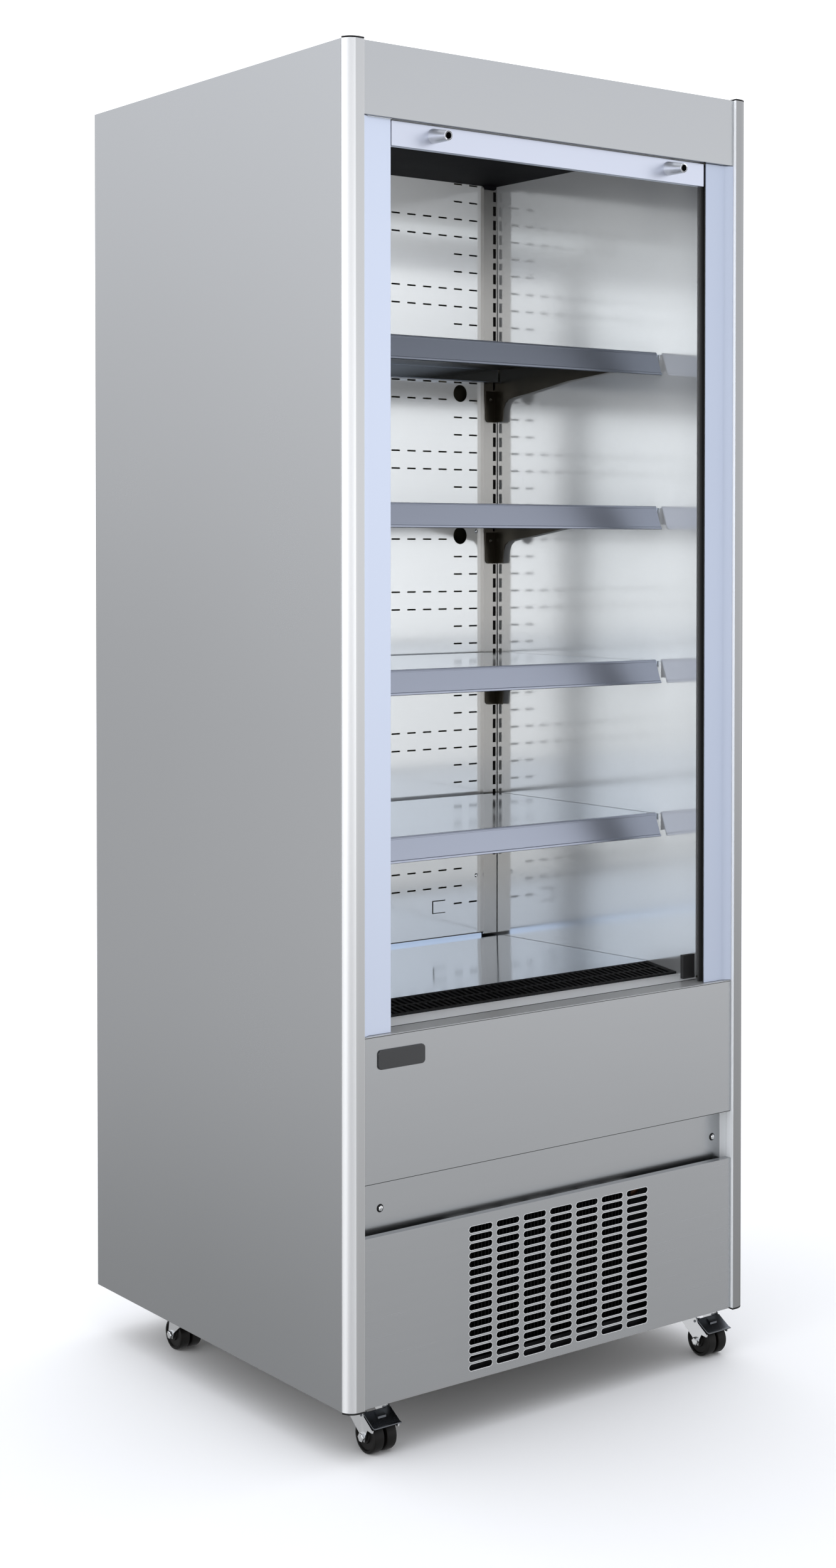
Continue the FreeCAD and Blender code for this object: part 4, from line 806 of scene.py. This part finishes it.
# %% Fill lights
def fill_light(name, place, aim, width, height, watts, spread):
    """A soft lamp that brightens matt surfaces and isn't mirrored by the steel."""
    lamp = bpy.data.lights.new(name, "AREA")
    lamp.shape = "RECTANGLE"
    lamp.size = width
    lamp.size_y = height
    lamp.energy = watts
    lamp.spread = math.radians(spread)
    made = bpy.data.objects.new(name, lamp)
    bpy.context.scene.collection.objects.link(made)
    made.location = place
    made.rotation_euler = (Vector(aim) - Vector(place)).to_track_quat("-Z", "Y").to_euler()
    made.visible_glossy = False
    made.visible_camera = False


fill_light("front_fill", place=(-0.35, -1.75, 1.15), aim=(0.0, 0.23, 1.70), width=0.5, height=0.5,
           watts=2.0, spread=70.0)
fill_light("top_bay_fill", place=(0.0, -0.25, 1.835), aim=(0.0, 0.23, 1.80), width=0.50, height=0.03,
           watts=0.48, spread=110.0)

# %% [markdown]
# ## The room as a world
# Polished metal shows what stands round it, so the room matters more than the lamps. The world is a soft
# gradient by height, with one gradient for most of the room and one each for the front left and the front
# right, which the side walls and the back mirror. Three wide glows come on top: a white wall behind the
# cabinet, which is also the picture's background, and a window and a doorway at the left.

# %% A world with the same socket maths as the finishes
class Room(Finish):
    """A world built from gradients and glows."""

    def __init__(self, name):
        world = bpy.data.worlds.new(name)
        world.use_nodes = True
        self.tree = world.node_tree
        self.shader = self.tree.nodes["Background"]
        self.place = self.node("ShaderNodeTexCoord", {}, {}, "Generated")
        bpy.context.scene.world = world

    def glow(self, towards, start, full, amount):
        """How much a wide soft lamp in one direction adds."""
        aim = Vector(towards).normalized()
        vectors = {0: self.place, 1: aim}
        lean = self.node("ShaderNodeVectorMath", {"operation": "DOT_PRODUCT"}, vectors, "Value")
        settings = {"interpolation_type": "SMOOTHSTEP"}
        return self.node("ShaderNodeMapRange", settings, {0: lean, 1: start, 2: full, 3: 0.0, 4: amount})

    def tints(self, stops):
        """A colour by height: 0 is straight down, 1 straight up."""
        return self.ramp(self.axis("Z") * 0.5 + 0.5, stops)

    def heights(self, stops):
        """Brightness by height, on the same scale."""
        return self.tints([(place, (value, value, value)) for place, value in stops])


# %% Gradients by height
room = Room("studio")
sky = room.tints([(0.0, (0.97, 0.98, 1.0)), (0.5, (0.98, 0.985, 1.0)), (1.0, (0.93, 0.965, 1.05))])
around = room.heights([
    (0.0, 0.36), (0.33, 0.38), (0.355, 0.42), (0.372, 0.54), (0.39, 0.69), (0.475, 0.69), (0.50, 0.79),
    (0.58, 1.10), (0.62, 1.22), (1.0, 1.45)])
front_left = room.heights([
    (0.0, 0.5), (0.38, 0.5), (0.41, 0.60), (0.425, 0.80), (0.44, 1.12), (0.465, 1.38), (0.49, 1.5),
    (0.515, 1.5), (0.535, 1.25), (0.555, 1.0), (0.62, 0.95), (0.74, 0.9), (0.78, 0.45), (0.85, 0.30),
    (0.90, 1.1), (1.0, 1.5)])
front_right = room.heights([
    (0.0, 0.60), (0.33, 0.62), (0.355, 0.66), (0.372, 0.82), (0.395, 1.0), (0.42, 0.90), (0.44, 1.3),
    (0.47, 1.6), (0.52, 1.65), (0.55, 1.35), (0.58, 1.33), (0.70, 1.2), (0.74, 0.92), (0.765, 0.68),
    (0.795, 0.15), (0.85, 0.15), (0.90, 1.1), (1.0, 1.5)])

# %% Sides of the room
to_left = room.glow((-0.62, -0.78, 0.0), start=0.52, full=0.80, amount=1.0)
to_right = room.glow((0.62, -0.78, 0.0), start=0.45, full=0.75, amount=1.0)
wall = room.glow((0.6, 0.8, 0.0), start=0.92, full=0.97, amount=0.45)
window = room.glow((-1.0, -0.12, 0.0), start=0.82, full=0.97, amount=0.75)
doorway = room.glow((-0.95, 0.30, 0.0), start=0.72, full=0.84, amount=0.40)
level = around + to_left * (front_left - around) + to_right * (front_right - around)
room.shade("Color", sky)
room.shade("Strength", level + wall + window + doorway)
